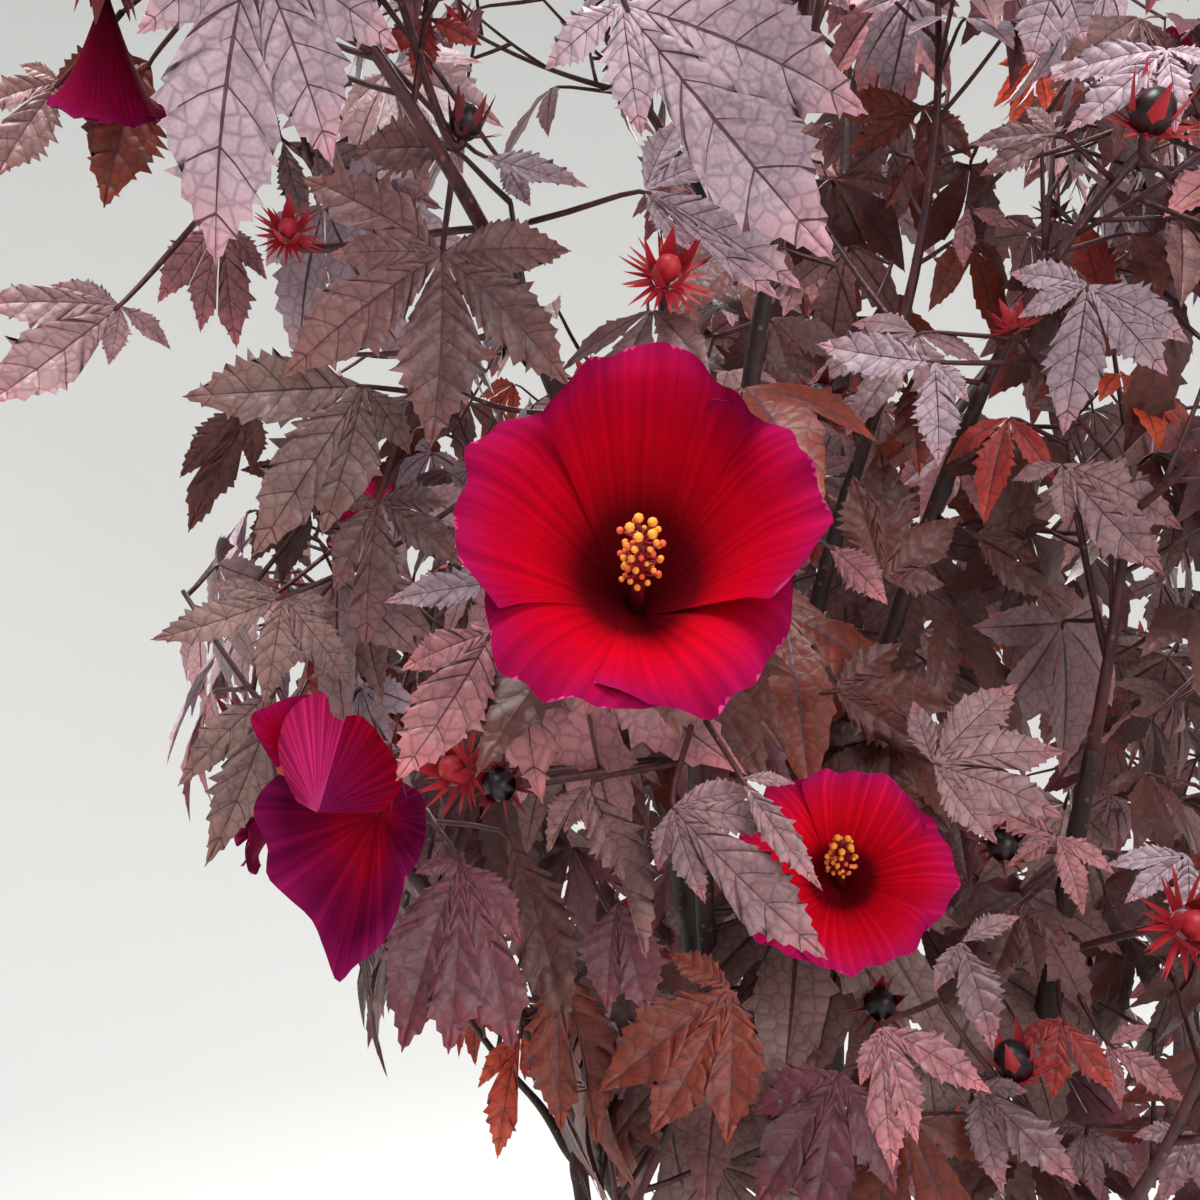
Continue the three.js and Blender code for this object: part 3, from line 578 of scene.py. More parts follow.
placed = [placedLeaf(placedSeed + i, *row) for i, row in enumerate(photoLeaves)]

coverGrid = {
    "square": 12,   # pixels across
    "edge": 10,     # squares beyond the photo
    "side": 120,    # squares in a row
    "least": 100, "behind": 6, "leafMargin": 7, "bloomMargin": 5,  # millimetres
}


def markNear(near, square, edge, px, py, r, depth):  # notes how near something is in the squares around a pixel
    x0, x1, y0, y1 = (int(v / square) + edge for v in (px - r, px + r, py - r, py + r))
    part = near[max(y0, 0):max(y1 + 1, 0), max(x0, 0):max(x1 + 1, 0)]
    np.minimum(part, depth, out=part)


def coarseCover():  # for each square of the photo, how near the leaves and blooms placed by it are
    near = np.full((coverGrid["side"],) * 2, 1e9)

    def mark(points, margin):
        for px, py, d in zip(*toPixels(points)):
            r = margin * focal / max(d, coverGrid["least"])
            markNear(near, coverGrid["square"], coverGrid["edge"], px, py, r, d + coverGrid["behind"])
    for leaf in placed:
        mark(leafSamples(leaf, (0.1, 0.25, 0.4, 0.55, 0.7, 0.85)), coverGrid["leafMargin"])
    for mass, middle, faces, across in blooms[:4]:
        side, over = squareTo(unit(vector(faces)))
        mark([vector(middle) + onCircle(side, over, t) * across / 2 * r
              for r in (0.3, 0.65, 0.95) for t in np.linspace(0, fullTurn, 24)], coverGrid["bloomMargin"])
    return np.where(near > 1e8, 0, near)


coverNear = coarseCover()


def standsBefore(points):  # for each point, whether it's nearer than what the photo shows there
    x, y, depth = toPixels(points)
    i, j = ((v / coverGrid["square"]).astype(int) + coverGrid["edge"] for v in (y, x))
    inside = (np.minimum(i, j) >= 0) & (np.maximum(i, j) < coverGrid["side"]) & (depth > 30)
    return inside & (depth < coverNear[i * inside, j * inside])


def hidesPhoto(points):
    return standsBefore(points).any()


openWindows = [  # left, top, right, bottom in the photo's pixels, and the share of leaves dropped there
    (-200, 150, 150, 270, 1.0), (-200, 420, 165, 580, 1.0), (-200, 580, 150, 1400, 1.0),
    (100, 860, 360, 1400, 1.0), (390, 1000, 470, 1200, 0.9), (440, 1150, 580, 1400, 1.0),
    (480, -50, 560, 210, 0.85), (540, 60, 620, 360, 0.7), (800, 60, 1000, 250, 0.6),
    (1110, 450, 1200, 600, 0.3), (1090, 640, 1210, 780, 0.5),
]


def inOpenWindow(points, chance):
    x, y, depth = toPixels(points)
    for left, top, right, bottom, share in openWindows:
        if chance < share and ((x > left) & (x < right) & (y > top) & (y < bottom) & (depth > 0)).any():
            return True
    return False


# The shoots of each mass: the source's leader and twigs, then finer twigs of the same kind.

def shootOf(rank, rule, foot, bow, end):
    shares = np.linspace(0, 1, 13)
    handles = [foot, bow, end]
    return {
        "rank": rank, "handles": handles, "points": bezier(handles, shares),
        "radii": mixed(rule["footRadius"], rule["tipRadius"], shares),
        "length": float(np.linalg.norm(np.subtract(end, foot))), "used": 0.0, "carrier": None,
    }


def leaderOf(row):
    name, source, middle, reach, fixed = row
    heading = bezierTangent(limbs[name]["handles"], 1)
    foot = limbs[name]["points"][-1] + heading * limbRule["jointGap"]
    middle = vector(middle)
    end = middle + unit(middle - foot) * reach * leaderRule["beyond"] + up * reach * leaderRule["lift"]
    return shootOf("leader", leaderRule, foot, foot + heading * np.linalg.norm(end - foot) * leaderRule["bow"], end)


def sideShoot(rank, rule, carrier, share, turn, length):  # "used" will say how much of it bears leaves
    forward = bezierTangent(carrier["handles"], share)
    heading = unit(roundShoot(forward, turn) + forward * rule["forward"] + up * rule["up"])
    foot = bezier(carrier["handles"], share)
    end = foot + heading * length + up * length * rule["rise"]
    shoot = shootOf(rank, rule, foot, foot + heading * length / 2, end)
    shoot["carrier"], shoot["fork"] = carrier, share
    return shoot


wood = {"points": np.zeros((30000, 3)), "radii": np.zeros(30000), "count": 0, "near": 130}


def addWood(grown):
    first, last = wood["count"], wood["count"] + len(grown["points"])
    wood["points"][first:last], wood["radii"][first:last] = grown["points"], grown["radii"]
    wood["count"] = last


def clearOfWood(points, gap):
    standing, radii = wood["points"][:wood["count"]], wood["radii"][:wood["count"]]
    close = np.abs(standing - points.mean(0)).max(1) < wood["near"]
    if not close.any():
        return True
    return (np.linalg.norm(points[:, None] - standing[None, close], axis=2) - radii[None, close]).min() > gap


def freeForShoot(index, points):
    return not (depthInCell(index, points).min() < shootRoom["wall"] or inBloomRoom(points).any()
                or not clearOfWood(points, shootRoom["wood"]) or hidesPhoto(points)
                or inOpenWindow(points, shootRoom["sky"]))


def firstFree(index, rule, tries):  # the first shoot of these that finds room
    for shoot in tries:
        if freeForShoot(index, shoot["points"][rule["tested"]:]):
            return [shoot]
    return []


def growShoots(index, row):
    draw = seededRandom(row[4].get("seed", firstSeed + index))
    leader, reach = leaderOf(row), row[3]

    def twigTries(i):
        for attempt in range(twigRule["tries"]):
            share = mixed(twigRule["first"], twigRule["last"], i / (twigRule["count"] - 1))
            turn = index * massTurn + i * goldenTurn + attempt * twigRule["nextTurn"] \
                + draw() * twigRule["turnJitter"]
            length = reach * (twigRule["length"] - twigRule["shorter"] * share) * within(twigRule["uneven"], draw)
            yield sideShoot("twig", twigRule, leader, share, turn, length)

    def finerTries(i, carrier, count):
        for attempt in range(finerRule["tries"]):
            share = (i + finerRule["first"] + finerRule["drift"] * draw()) / (count + finerRule["spare"])
            turn = i * goldenTurn + attempt * twigRule["nextTurn"] + draw() * finerRule["turnJitter"] \
                + index * finerRule["massTurn"]
            length = reach * within(finerRule["length"], draw)
            yield sideShoot("finer", finerRule, carrier, min(share, finerRule["last"]), turn, length)
    shoots = [leader]
    for i in range(twigRule["count"]):
        shoots += firstFree(index, twigRule, twigTries(i))
    for shoot in shoots:
        addWood(shoot)
    for carrier in list(shoots):
        count = finerRule["onLeader" if carrier is leader else "onTwig"]
        for i in range(count):
            for finer in firstFree(index, finerRule, finerTries(i, carrier, count)):
                shoots.append(finer)
                addWood(finer)
    return shoots, draw


for limb in limbs.values():
    addWood(limb)
for row in masses:
    addWood(leaderOf(row))  # every leader is there before any twig grows past it
massShoots = [growShoots(i, row) for i, row in enumerate(masses)]
shoots = [shoot for grown, draw in massShoots for shoot in grown]
print("shoots grown:", len(shoots))

standing = {"middles": np.zeros((0, 3)), "clouds": [], "near": 165}  # samples of the leaves so far, filed by leaf


def addStanding(points):
    standing["middles"] = np.vstack([standing["middles"], points.mean(0)])
    standing["clouds"].append(points)


def toStanding(points):
    close = np.flatnonzero(np.linalg.norm(standing["middles"] - points.mean(0), axis=1) < standing["near"])
    if not len(close):
        return 1e9
    cloud = np.vstack([standing["clouds"][i] for i in close])
    return np.linalg.norm(points[:, None] - cloud[None], axis=2).min()


def growLeaves():
    leaves, count = [], 0
    for index, (grown, draw) in enumerate(massShoots):
        for shoot in grown:
            dense, first, scale = leafRows["finer" if shoot["rank"] == "finer" else "stout"]
            nodes = max(1, int(shoot["length"] * dense / leafRule["spacing"]))
            for k in range(nodes):
                share = leafRule["last"] if nodes == 1 else mixed(first, leafRule["last"], k / (nodes - 1))
                size = (1.0 - leafRule["smaller"] * share) * scale
                size *= leafRule["uneven"][0] + leafRule["uneven"][1] * draw()
                count += 1
                for attempt in range(leafRule["tries"]):
                    turn = count * goldenTurn + attempt * leafRule["nextTurn"] \
                        + (draw() * 2 - 1) * leafRule["turnJitter"]
                    leaf = leafOn(shoot, share, turn, size, draw)
                    points = leafSamples(leaf)
                    tested = np.vstack([points, leaf["base"]])
                    if depthInCell(index, tested).min() < -leafRule["mingle"] or inBloomRoom(tested).any():
                        continue
                    if toStanding(points) < leafRule["apart"] or not clearOfWood(points, leafRule["fromWood"]):
                        continue
                    if hidesPhoto(tested) or inOpenWindow(points, draw()) or outsideBox(tested):
                        continue
                    leaf["mass"] = index
                    shoot["used"] = max(shoot["used"], share)
                    addStanding(points)
                    leaves.append(leaf)
                    break
    return leaves


fillZones = [  # left, top, right, bottom in the photo's pixels, and how closely the leaves stand there
    (185, 110, 440, 700, 0.76), (250, 700, 560, 1000, 1.0), (440, 830, 860, 1010, 0.96), (560, 1000, 1200, 1200, 0.92),
    (800, 420, 1200, 1000, 0.94), (600, 260, 840, 360, 0.6), (840, 210, 1200, 430, 0.7), (260, 0, 410, 200, 0.6),
    (900, 0, 1200, 210, 0.45), (380, 1020, 560, 1200, 0.2),
]
laterZones = [(560, 690, 860, 850, 0.98), (820, 560, 980, 780, 0.98), (690, 560, 860, 720, 0.97)]
hiddenLimbs = {  # where the photo shows no limb, leaves hang in front of them
    "from": (540, 640), "to": (1190, 1190), "tries": 3000, "ahead": (14, 90), "least": 60,
}
fillRule = {
    "tries": 9000, "later": 1500, "depth": (390, 980), "reach": 130, "apart": 3.5, "seed": 77,
    "beyond": 12, "fromWood": 3, "from": 0.45, "size": (0.8, 0.3),
}
fillGrid = {"square": 10, "least": 60, "spare": 60, "wide": 0.11}  # pixels, nearest depth, and a lobe's width
covered = np.full((photoView["pixels"] // fillGrid["square"],) * 2, 1e9)  # how near a leaf is in each square


def coverWith(leaf):
    points, square, spare = leafSamples(leaf, (0.2, 0.35, 0.5, 0.65, 0.8)), fillGrid["square"], fillGrid["spare"]
    sight = unit(points.mean(0) - lens)
    across = leaf["length"] * fillGrid["wide"] * abs(leaf["normal"] @ sight)  # less where it's seen edge-on
    for px, py, d in zip(*toPixels(points)):
        r = across * focal / d - square / 2
        if d < fillGrid["least"] or not all(-spare < v < photoView["pixels"] + spare for v in (px, py)) or r < 0:
            continue
        markNear(covered, square, 0, px, py, r, d)


def openSquare(zone, draw):
    left, top, right, bottom = (int(v / fillGrid["square"]) for v in zone[:4])
    free = np.argwhere(covered[top:bottom, left:right] > 1e8)
    if len(free) < (1 - zone[4]) * (bottom - top) * (right - left) + 1:
        return None
    i, j = free[int(draw() * len(free))]
    return (left + j + draw()) * fillGrid["square"], (top + i + draw()) * fillGrid["square"]


def looseLeaf(target, draw):  # a leaf that hangs over a point, by the same rule as the others
    turn = draw() * fullTurn
    reach = unit(np.array((math.cos(turn), math.sin(turn), 0.5 * draw() - 0.1)))
    heading, lean = hungFrom(target, reach, reach, draw)
    leaf = newLeaf(fillRule["size"][0] + fillRule["size"][1] * draw(), draw, reach=reach, stalk=None)
    heading = unit(heading)
    leaf["base"] = target - heading * leaf["length"] * fillRule["from"]
    return finishLeaf(leaf, heading, lean)


def nearestShoot(point):
    return min(np.linalg.norm(shoot["points"][2:] - point, axis=1).min() for shoot in shoots if shoot["used"] > 0.9)


def fillLeaves(grown):  # more leaves on fine twigs, where the photo shows no sky between them
    draw = seededRandom(fillRule["seed"])
    for leaf in placed + grown:
        coverWith(leaf)
    added = []

    def tryLeaf(target):
        leaf = looseLeaf(target, draw)
        points = leafSamples(leaf)
        tested = np.vstack([points, leaf["base"]])
        toBalls = np.linalg.norm(tested[:, None] - massMiddles[None], axis=2) - massReaches[None]
        if toBalls.min(1).max() > fillRule["beyond"] or inBloomRoom(tested).any() or hidesPhoto(tested) \
                or outsideBox(tested) or inOpenWindow(points, draw()) or toStanding(points) < fillRule["apart"] \
                or not clearOfWood(points, fillRule["fromWood"]) or nearestShoot(leaf["base"]) > fillRule["reach"]:
            return
        leaf["mass"] = int(toBalls[-1].argmin())
        addStanding(points)
        coverWith(leaf)
        added.append(leaf)

    zones = [fillZones[i % len(fillZones)] for i in range(fillRule["tries"])]
    zones += [laterZones[i % len(laterZones)] for i in range(fillRule["later"])]
    for zone in zones:
        square = openSquare(zone, draw)
        if square is not None:
            tryLeaf(atPixel(square, within(fillRule["depth"], draw)))
    spots = np.hstack([toPixels(limb["points"]) for limb in limbs.values()]).T
    places, least = spots[:, :2], hiddenLimbs["least"]
    spots = spots[((places > hiddenLimbs["from"]) & (places < hiddenLimbs["to"])).all(1) & (spots[:, 2] > least)]
    for i in range(hiddenLimbs["tries"]):
        x, y, depth = spots[int(draw() * len(spots))]
        if covered[int(y / fillGrid["square"]), int(x / fillGrid["square"])] > depth:
            tryLeaf(atPixel((x, y), depth - within(hiddenLimbs["ahead"], draw)))
    return added


for leaf in placed:
    addStanding(leafSamples(leaf))
grownLeaves = growLeaves()
for shoot in reversed(shoots):  # a shoot goes on to its last leaf or side shoot, and a bare one isn't made
    if shoot["used"] and shoot["carrier"]:
        shoot["carrier"]["used"] = max(shoot["carrier"]["used"], shoot["fork"])
filledLeaves = fillLeaves(grownLeaves)
print("leaves grown:", len(grownLeaves), "placed:", len(placed), "filled in:", len(filledLeaves))


# Meshes. A sheaf gathers small meshes of one kind into a piece.

def newSheaf():
    return {"places": [], "faces": [], "tones": [], "uvs": [], "count": 0}


def addTo(sheaf, places, faces, tones=0, uvs=None):
    sheaf["places"].append(np.asarray(places, float))
    sheaf["faces"].append(np.asarray(faces) + sheaf["count"])
    sheaf["tones"].append(np.broadcast_to(tones, len(faces)))
    if uvs is not None:
        sheaf["uvs"].append(uvs)
    sheaf["count"] += len(places)


def pieceOf(name, sheaf, materials, nodes, slot):
    places = np.concatenate(sheaf["places"]) * mm
    corners = np.concatenate([f.ravel() for f in sheaf["faces"]])
    sides = np.concatenate([np.full(len(f), f.shape[1]) for f in sheaf["faces"]])
    mesh = bpy.data.meshes.new(name)
    mesh.vertices.add(len(places))
    mesh.vertices.foreach_set("co", places.ravel())
    mesh.loops.add(len(corners))
    mesh.loops.foreach_set("vertex_index", corners)
    mesh.polygons.add(len(sides))
    mesh.polygons.foreach_set("loop_start", np.concatenate([[0], np.cumsum(sides)[:-1]]))
    mesh.polygons.foreach_set("material_index", np.concatenate(sheaf["tones"]))
    mesh.polygons.foreach_set("use_smooth", np.full(len(sides), True))
    if sheaf["uvs"]:
        layer = mesh.uv_layers.new(name="alongAcross")
        layer.data.foreach_set("uv", np.concatenate(sheaf["uvs"])[corners].ravel())
    for material in materials:
        mesh.materials.append(material)
    mesh.update()
    mesh.validate()
    piece = bpy.data.objects.new(name, mesh)
    bpy.context.collection.objects.link(piece)
    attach(piece, "root")
    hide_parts(*nodes)
    print(name, (sides - 2).sum(), "triangles")


def framesAlong(points):  # side and over for each point of a path, turned as little as possible
    steps = np.gradient(points, axis=0)
    ahead = steps / np.linalg.norm(steps, axis=1)[:, None]
    side, over = squareTo(ahead[0])
    sides = [side]
    for forward in ahead[1:]:
        side = unit(sides[-1] - forward * (sides[-1] @ forward))
        sides.append(side)
    sides = np.array(sides)
    return ahead, sides, np.cross(ahead, sides)


def closedInto(sheaf, rings, ends, tone, inward=False):  # walls between the rings, and a fan to the point at each end
    corners = rings.shape[1]
    places = np.vstack([rings.reshape(-1, 3), ends])
    ids = np.arange(len(places) - 2).reshape(-1, corners)
    turned = np.roll(ids, -1, 1)
    if inward:
        ids, turned = turned, ids
    walls = np.stack([ids[:-1], turned[:-1], turned[1:], ids[1:]], 2).reshape(-1, 4)
    start = sheaf["count"]
    addTo(sheaf, places, np.roll(walls, -1, 1) if inward else walls, tone)
    for one, other, end in ((turned[0], ids[0], len(places) - 2), (ids[-1], turned[-1], len(places) - 1)):
        sheaf["faces"].append(np.stack([one, other, np.full(corners, end)], 1) + start)
        sheaf["tones"].append(np.full(corners, tone))


def tubeInto(sheaf, points, radii, corners, relief=None, tone=0, footDepth=0.3, tipLength=0.6):
    points, radii = vector(points), vector(radii)
    ahead, sides, overs = framesAlong(points)
    turns = np.arange(corners) * fullTurn / corners
    size = np.repeat(radii[:, None], corners, 1)
    if relief is not None:
        size = size + relief(points, turns, radii)
    rings = points[:, None] + size[..., None] * (np.cos(turns)[None, :, None] * sides[:, None]
                                                + np.sin(turns)[None, :, None] * overs[:, None])
    ends = [points[0] - ahead[0] * radii[0] * footDepth, points[-1] + ahead[-1] * radii[-1] * tipLength]
    closedInto(sheaf, rings, ends, tone)


def ballInto(sheaf, middle, radius, rings=4, corners=6, tone=0, axis=up, stretch=1.0):
    side, over = squareTo(axis)
    lat = np.linspace(0, math.pi, rings + 1)[1:-1]
    lon = np.arange(corners) * fullTurn / corners
    ring = np.sin(lat)[:, None, None] * (np.cos(lon)[None, :, None] * side + np.sin(lon)[None, :, None] * over)
    places = middle + radius * (ring + stretch * np.cos(lat)[:, None, None] * axis)
    pole = axis * radius * stretch
    closedInto(sheaf, places, [middle + pole, middle - pole], tone, True)


# Materials. A node stands for its first output where another one takes it in.

def linear(hexColour):
    parts = [int(hexColour[i:i + 2], 16) / 255 for i in (1, 3, 5)]
    return [c / 12.92 if c <= 0.04045 else ((c + 0.055) / 1.055) ** 2.4 for c in parts] + [1]


def addNode(tree, kind, settings=None, links=None):
    node = tree.nodes.new("ShaderNode" + kind)
    for key, value in (settings or {}).items():
        if isinstance(key, str) and hasattr(node, key):
            setattr(node, key, value)
        else:
            node.inputs[key].default_value = value
    for key, source in (links or {}).items():
        tree.links.new(source.outputs[0] if hasattr(source, "outputs") else source, node.inputs[key])
    return node


def newMaterial(name):
    material = bpy.data.materials.new(name)
    material.use_nodes = True
    material.node_tree.nodes.clear()
    return material, material.node_tree


def endMaterial(tree, settings, links):
    shader = addNode(tree, "BsdfPrincipled", settings, links)
    addNode(tree, "OutputMaterial", links={"Surface": shader})


def mathOf(tree, operation, links, by=None):
    return addNode(tree, "Math", {"operation": operation, **({} if by is None else {1: by})}, links)


def noiseOf(tree, scale, detail, place):
    return addNode(tree, "TexNoise", {"Scale": scale, "Detail": detail}, {"Vector": place})


def rangeOf(tree, source, low, high, toLow, toHigh):
    return addNode(tree, "MapRange", {"From Min": low, "From Max": high, "To Min": toLow, "To Max": toHigh},
                   {"Value": source})


def mixOf(tree, share, first, colour):
    return addNode(tree, "Mix", {"data_type": "RGBA", 7: linear(colour)}, {0: share, 6: first}).outputs[2]


def rampOf(tree, source, steps):
    ramp = addNode(tree, "ValToRGB", links={"Fac": source})
    elements = ramp.color_ramp.elements
    for place, colour in steps[1:-1]:
        elements.new(place).color = linear(colour)
    for k in (0, -1):
        elements[k].position, elements[k].color = steps[k][0], linear(steps[k][1])
    return ramp


def shadedBy(tree, colour, value):
    return addNode(tree, "HueSaturation", links={"Color": colour, "Value": value})


def bumpOf(tree, distance, strength, height):
    return addNode(tree, "Bump", {"Distance": distance, "Strength": strength}, {"Height": height})


leafFinish = {
    "roughness": 0.46,     # a thin waxy skin: soft sheen over the whole blade
    "ior": 1.45,
    "cloud": 14,           # per metre: the shade drifts over about 70 mm, from lobe to lobe
    "grain": 900,          # per metre: fine cells about 1 mm across
    "net": 190,            # per metre: the net of small veins has meshes of about 5 mm
    "darkNet": (0.13, 0.64, 1.04),  # how far the veins' shade reaches, on them and between them
    "bump": 0.0011,        # metres
    "tip": (0.7, 1.0),     # share of a lobe's length where it turns to the colour of its tip
}


def leafMaterial(name, low, high, tip, sheen):
    material, tree = newMaterial(name)
    place = addNode(tree, "TexCoord").outputs["Object"]
    cloud = noiseOf(tree, leafFinish["cloud"], 3.0, place)
    grain = noiseOf(tree, leafFinish["grain"], 1.0, place)
    shade = rampOf(tree, mathOf(tree, "MULTIPLY_ADD", {0: grain, 2: cloud}, 0.25), [(0.42, low), (0.82, high)])
    lobe = addNode(tree, "UVMap", {"uv_map": "alongAcross"})
    along = addNode(tree, "SeparateXYZ", links={"Vector": lobe}).outputs["Y"]
    tipped = mixOf(tree, rangeOf(tree, along, *leafFinish["tip"], 0.0, 0.75), shade, tip)
    net = addNode(tree, "TexVoronoi", {"feature": "DISTANCE_TO_EDGE", "Scale": leafFinish["net"]}, {"Vector": place})
    colour = shadedBy(tree, tipped, rangeOf(tree, net, 0.0, *leafFinish["darkNet"]))
    bump = bumpOf(tree, leafFinish["bump"], 0.45, net)
    endMaterial(tree, {"Roughness": leafFinish["roughness"], "IOR": leafFinish["ior"], "Sheen Weight": sheen,
                       "Sheen Roughness": 0.5}, {"Base Color": colour, "Normal": bump})
    return material


leafColours = {  # darkest and lightest shade and the tip of each, dealt out leaf by leaf
    "pale": ("#7c626c", "#b69ca6", "#c07f8b", 0.14),    # painted sky sheen: a lilac highlight on leaves that face the sky
    "mauve": ("#614046", "#9a7274", "#9c565c", 0.12),   # the same painted sky sheen, thinner, over the wine brown
    "maroon": ("#4e2c2c", "#845a58", "#86504a", 0.06),  # the common wine brown
    "grape": ("#43161f", "#6c303c", "#7c2c38", 0.06),   # purple and glossier
    "olive": ("#604440", "#94706a", "#865650", 0.05),   # older leaves with green under the red
    "deep": ("#341410", "#622c24", "#64281e", 0.02),    # shaded ones deep in the crown
    "pink": ("#754248", "#aa6c70", "#c0686c", 0.1),     # young, still thin
    "rust": ("#4c150a", "#7c2c1a", "#8a341c", 0.02),    # thin leaves that the light comes through
    "red": ("#781818", "#a83630", "#c04034", 0.03),     # fresh leaves at the tips, with a painted glow of light coming through them
    "ember": ("#942410", "#cc4826", "#d8603a", 0.03),   # the freshest, orange, with a painted glow of light coming through them
}
leafMaterials = {key: leafMaterial("leaf_" + key, *value) for key, value in leafColours.items()}
leafMaterials["vein"] = leafMaterial("leaf_vein", "#33141b", "#5a2832", "#5a2832", 0.03)
tones = list(leafColours) + ["vein"]


def barkMaterial(name, low, high, speck, roughness):
    material, tree = newMaterial(name)
    place = addNode(tree, "TexCoord").outputs["Object"]
    stretched = addNode(tree, "Mapping", {"Scale": (1.0, 1.0, 0.22)}, {"Vector": place})
    streaks = noiseOf(tree, 330.0, 4.0, stretched)  # about 3 mm wide and 14 mm long
    pores = addNode(tree, "TexVoronoi", {"Scale": 190.0}, {"Vector": place})  # about 5 mm apart
    colour = mixOf(tree, rangeOf(tree, pores, 0.12, 0.2, 1.0, 0.0), rampOf(tree, streaks, [(0.35, low), (0.66, high)]),
                   speck)
    endMaterial(tree, {"Roughness": roughness, "IOR": 1.45},
                {"Base Color": colour, "Normal": bumpOf(tree, 0.0007, 0.9, streaks)})
    return material


woodyBark = barkMaterial("bark_woody", "#4a3a31", "#7d6a5a", "#a59482", 0.85)  # grey-brown, dull
youngBark = barkMaterial("bark_young", "#1a090b", "#371819", "#664540", 0.6)   # red-brown with pale pores
twigBark = barkMaterial("bark_twig", "#2a0c10", "#4e1a1e", "#6e403c", 0.5)     # wine-red, half shiny


petalLooks = {  # shares of the bloom's radius
    "depth": 0.66, "curve": 1.6, "foot": 0.07, "wide": 0.68, "round": 0.33, "recurve": 0.25,
    "ruffle": 0.035, "frill": 0.02, "overlap": 0.018,
    "thick": 0.4,   # millimetres
    "veins": 22.0,  # across a petal
}


def petalMaterial(name, vein, steps, roughness=0.7):
    material, tree = newMaterial(name)
    uv = addNode(tree, "UVMap", {"uv_map": "alongAcross"})
    split = addNode(tree, "SeparateXYZ", links={"Vector": uv}).outputs
    aside = mathOf(tree, "SUBTRACT", {0: mathOf(tree, "FRACT", {0: split["X"]})}, 0.5)
    square = mathOf(tree, "MULTIPLY", {0: aside, 1: aside})
    star = mathOf(tree, "MULTIPLY_ADD", {0: square, 2: split["Y"]}, 0.45)
    shade = rampOf(tree, star, steps)  # the dark throat ends in a point on each petal
    veins = noiseOf(tree, petalLooks["veins"], 3.0, addNode(tree, "CombineXYZ", links={"X": split["X"]}))
    colour = shadedBy(tree, shade, rangeOf(tree, veins, *vein))
    endMaterial(tree, {"Roughness": roughness, "IOR": 1.35, "Specular IOR Level": 0.02},
                {"Base Color": colour, "Normal": bumpOf(tree, 0.0008, 0.5, veins)})
    return material


def plainMaterial(name, colour, roughness):
    material, tree = newMaterial(name)
    endMaterial(tree, {"Base Color": linear(colour), "Roughness": roughness, "IOR": 1.45}, {})
    return material


petalSkinsShown = [
    petalMaterial("petal_inside", (0.4, 0.62, 0.82, 1.1), [  # wine throat, scarlet middle, magenta rim
        (0.0, "#380207"), (0.3, "#4e030a"), (0.42, "#8a0210"), (0.56, "#9c0114"), (0.78, "#900222"), (1.0, "#80083a")]),
    petalMaterial("petal_outside", (0.46, 0.66, 0.74, 1.75), [  # paler and pinker, with light veins
        (0.0, "#5a0616"), (0.3, "#7c0a26"), (0.6, "#8a1240"), (0.9, "#8e1a4c"), (1.0, "#a02e62")], 0.6),
    petalMaterial("petal_painted_lit", (0.48, 0.66, 0.86, 1.4), [  # the same petals painted brighter: painted light on a bloom that sits in shade, with light veins
        (0.0, "#48040a"), (0.28, "#62040e"), (0.38, "#b00618"), (0.56, "#c4061c"), (0.8, "#b40a30"), (1.0, "#9c104c")]),
    petalMaterial("petal_closed_painted_shade", (0.4, 0.64, 0.78, 1.2), [  # a closed bloom, painted dark: painted shade
        (0.0, "#2c0410"), (0.4, "#5c0420"), (0.7, "#70062c"), (1.0, "#6a0a3a")]),
    petalMaterial("petal_shaded", (0.44, 0.64, 0.8, 1.4), [  # the folded one, dark magenta around a red heart
        (0.0, "#4a0410"), (0.25, "#78041a"), (0.42, "#86041c"), (0.62, "#6c0528"), (0.85, "#5c0730"),
        (1.0, "#640c3a")]),
]
antherSkins = [
    plainMaterial("anther", "#d0502a", 0.75),       # orange pollen, matt
    plainMaterial("anther_gold", "#e08a2c", 0.75),  # the ripest, golden
    plainMaterial("column", "#7a0a18", 0.5),        # wine-red, half shiny
]
capsuleSkins = [
    plainMaterial("calyx", "#6d141e", 0.5),         # dark red, half shiny
    plainMaterial("fruit", "#1c0a10", 0.4),         # almost black
    plainMaterial("calyx_fresh", "#b02430", 0.5),   # bright red
]


# Bark. Ridges run along the stems, leaf scars swell them and every fork has a collar.

barkRelief = {"main": (1.4, 0.05), "cane": (0.42, 0.06), "bough": (0.25, 0.07)}  # height in mm and as a share
barkWaves = {"ridges": (6, 9), "scarSpacing": (34, 48), "scarLength": 3.4, "scarWidth": 0.75, "scars": 400}
collars = {"foot": 0.45, "footRun": 1.8, "fork": 0.12, "forkRun": 2.2, "taper": 0.035}


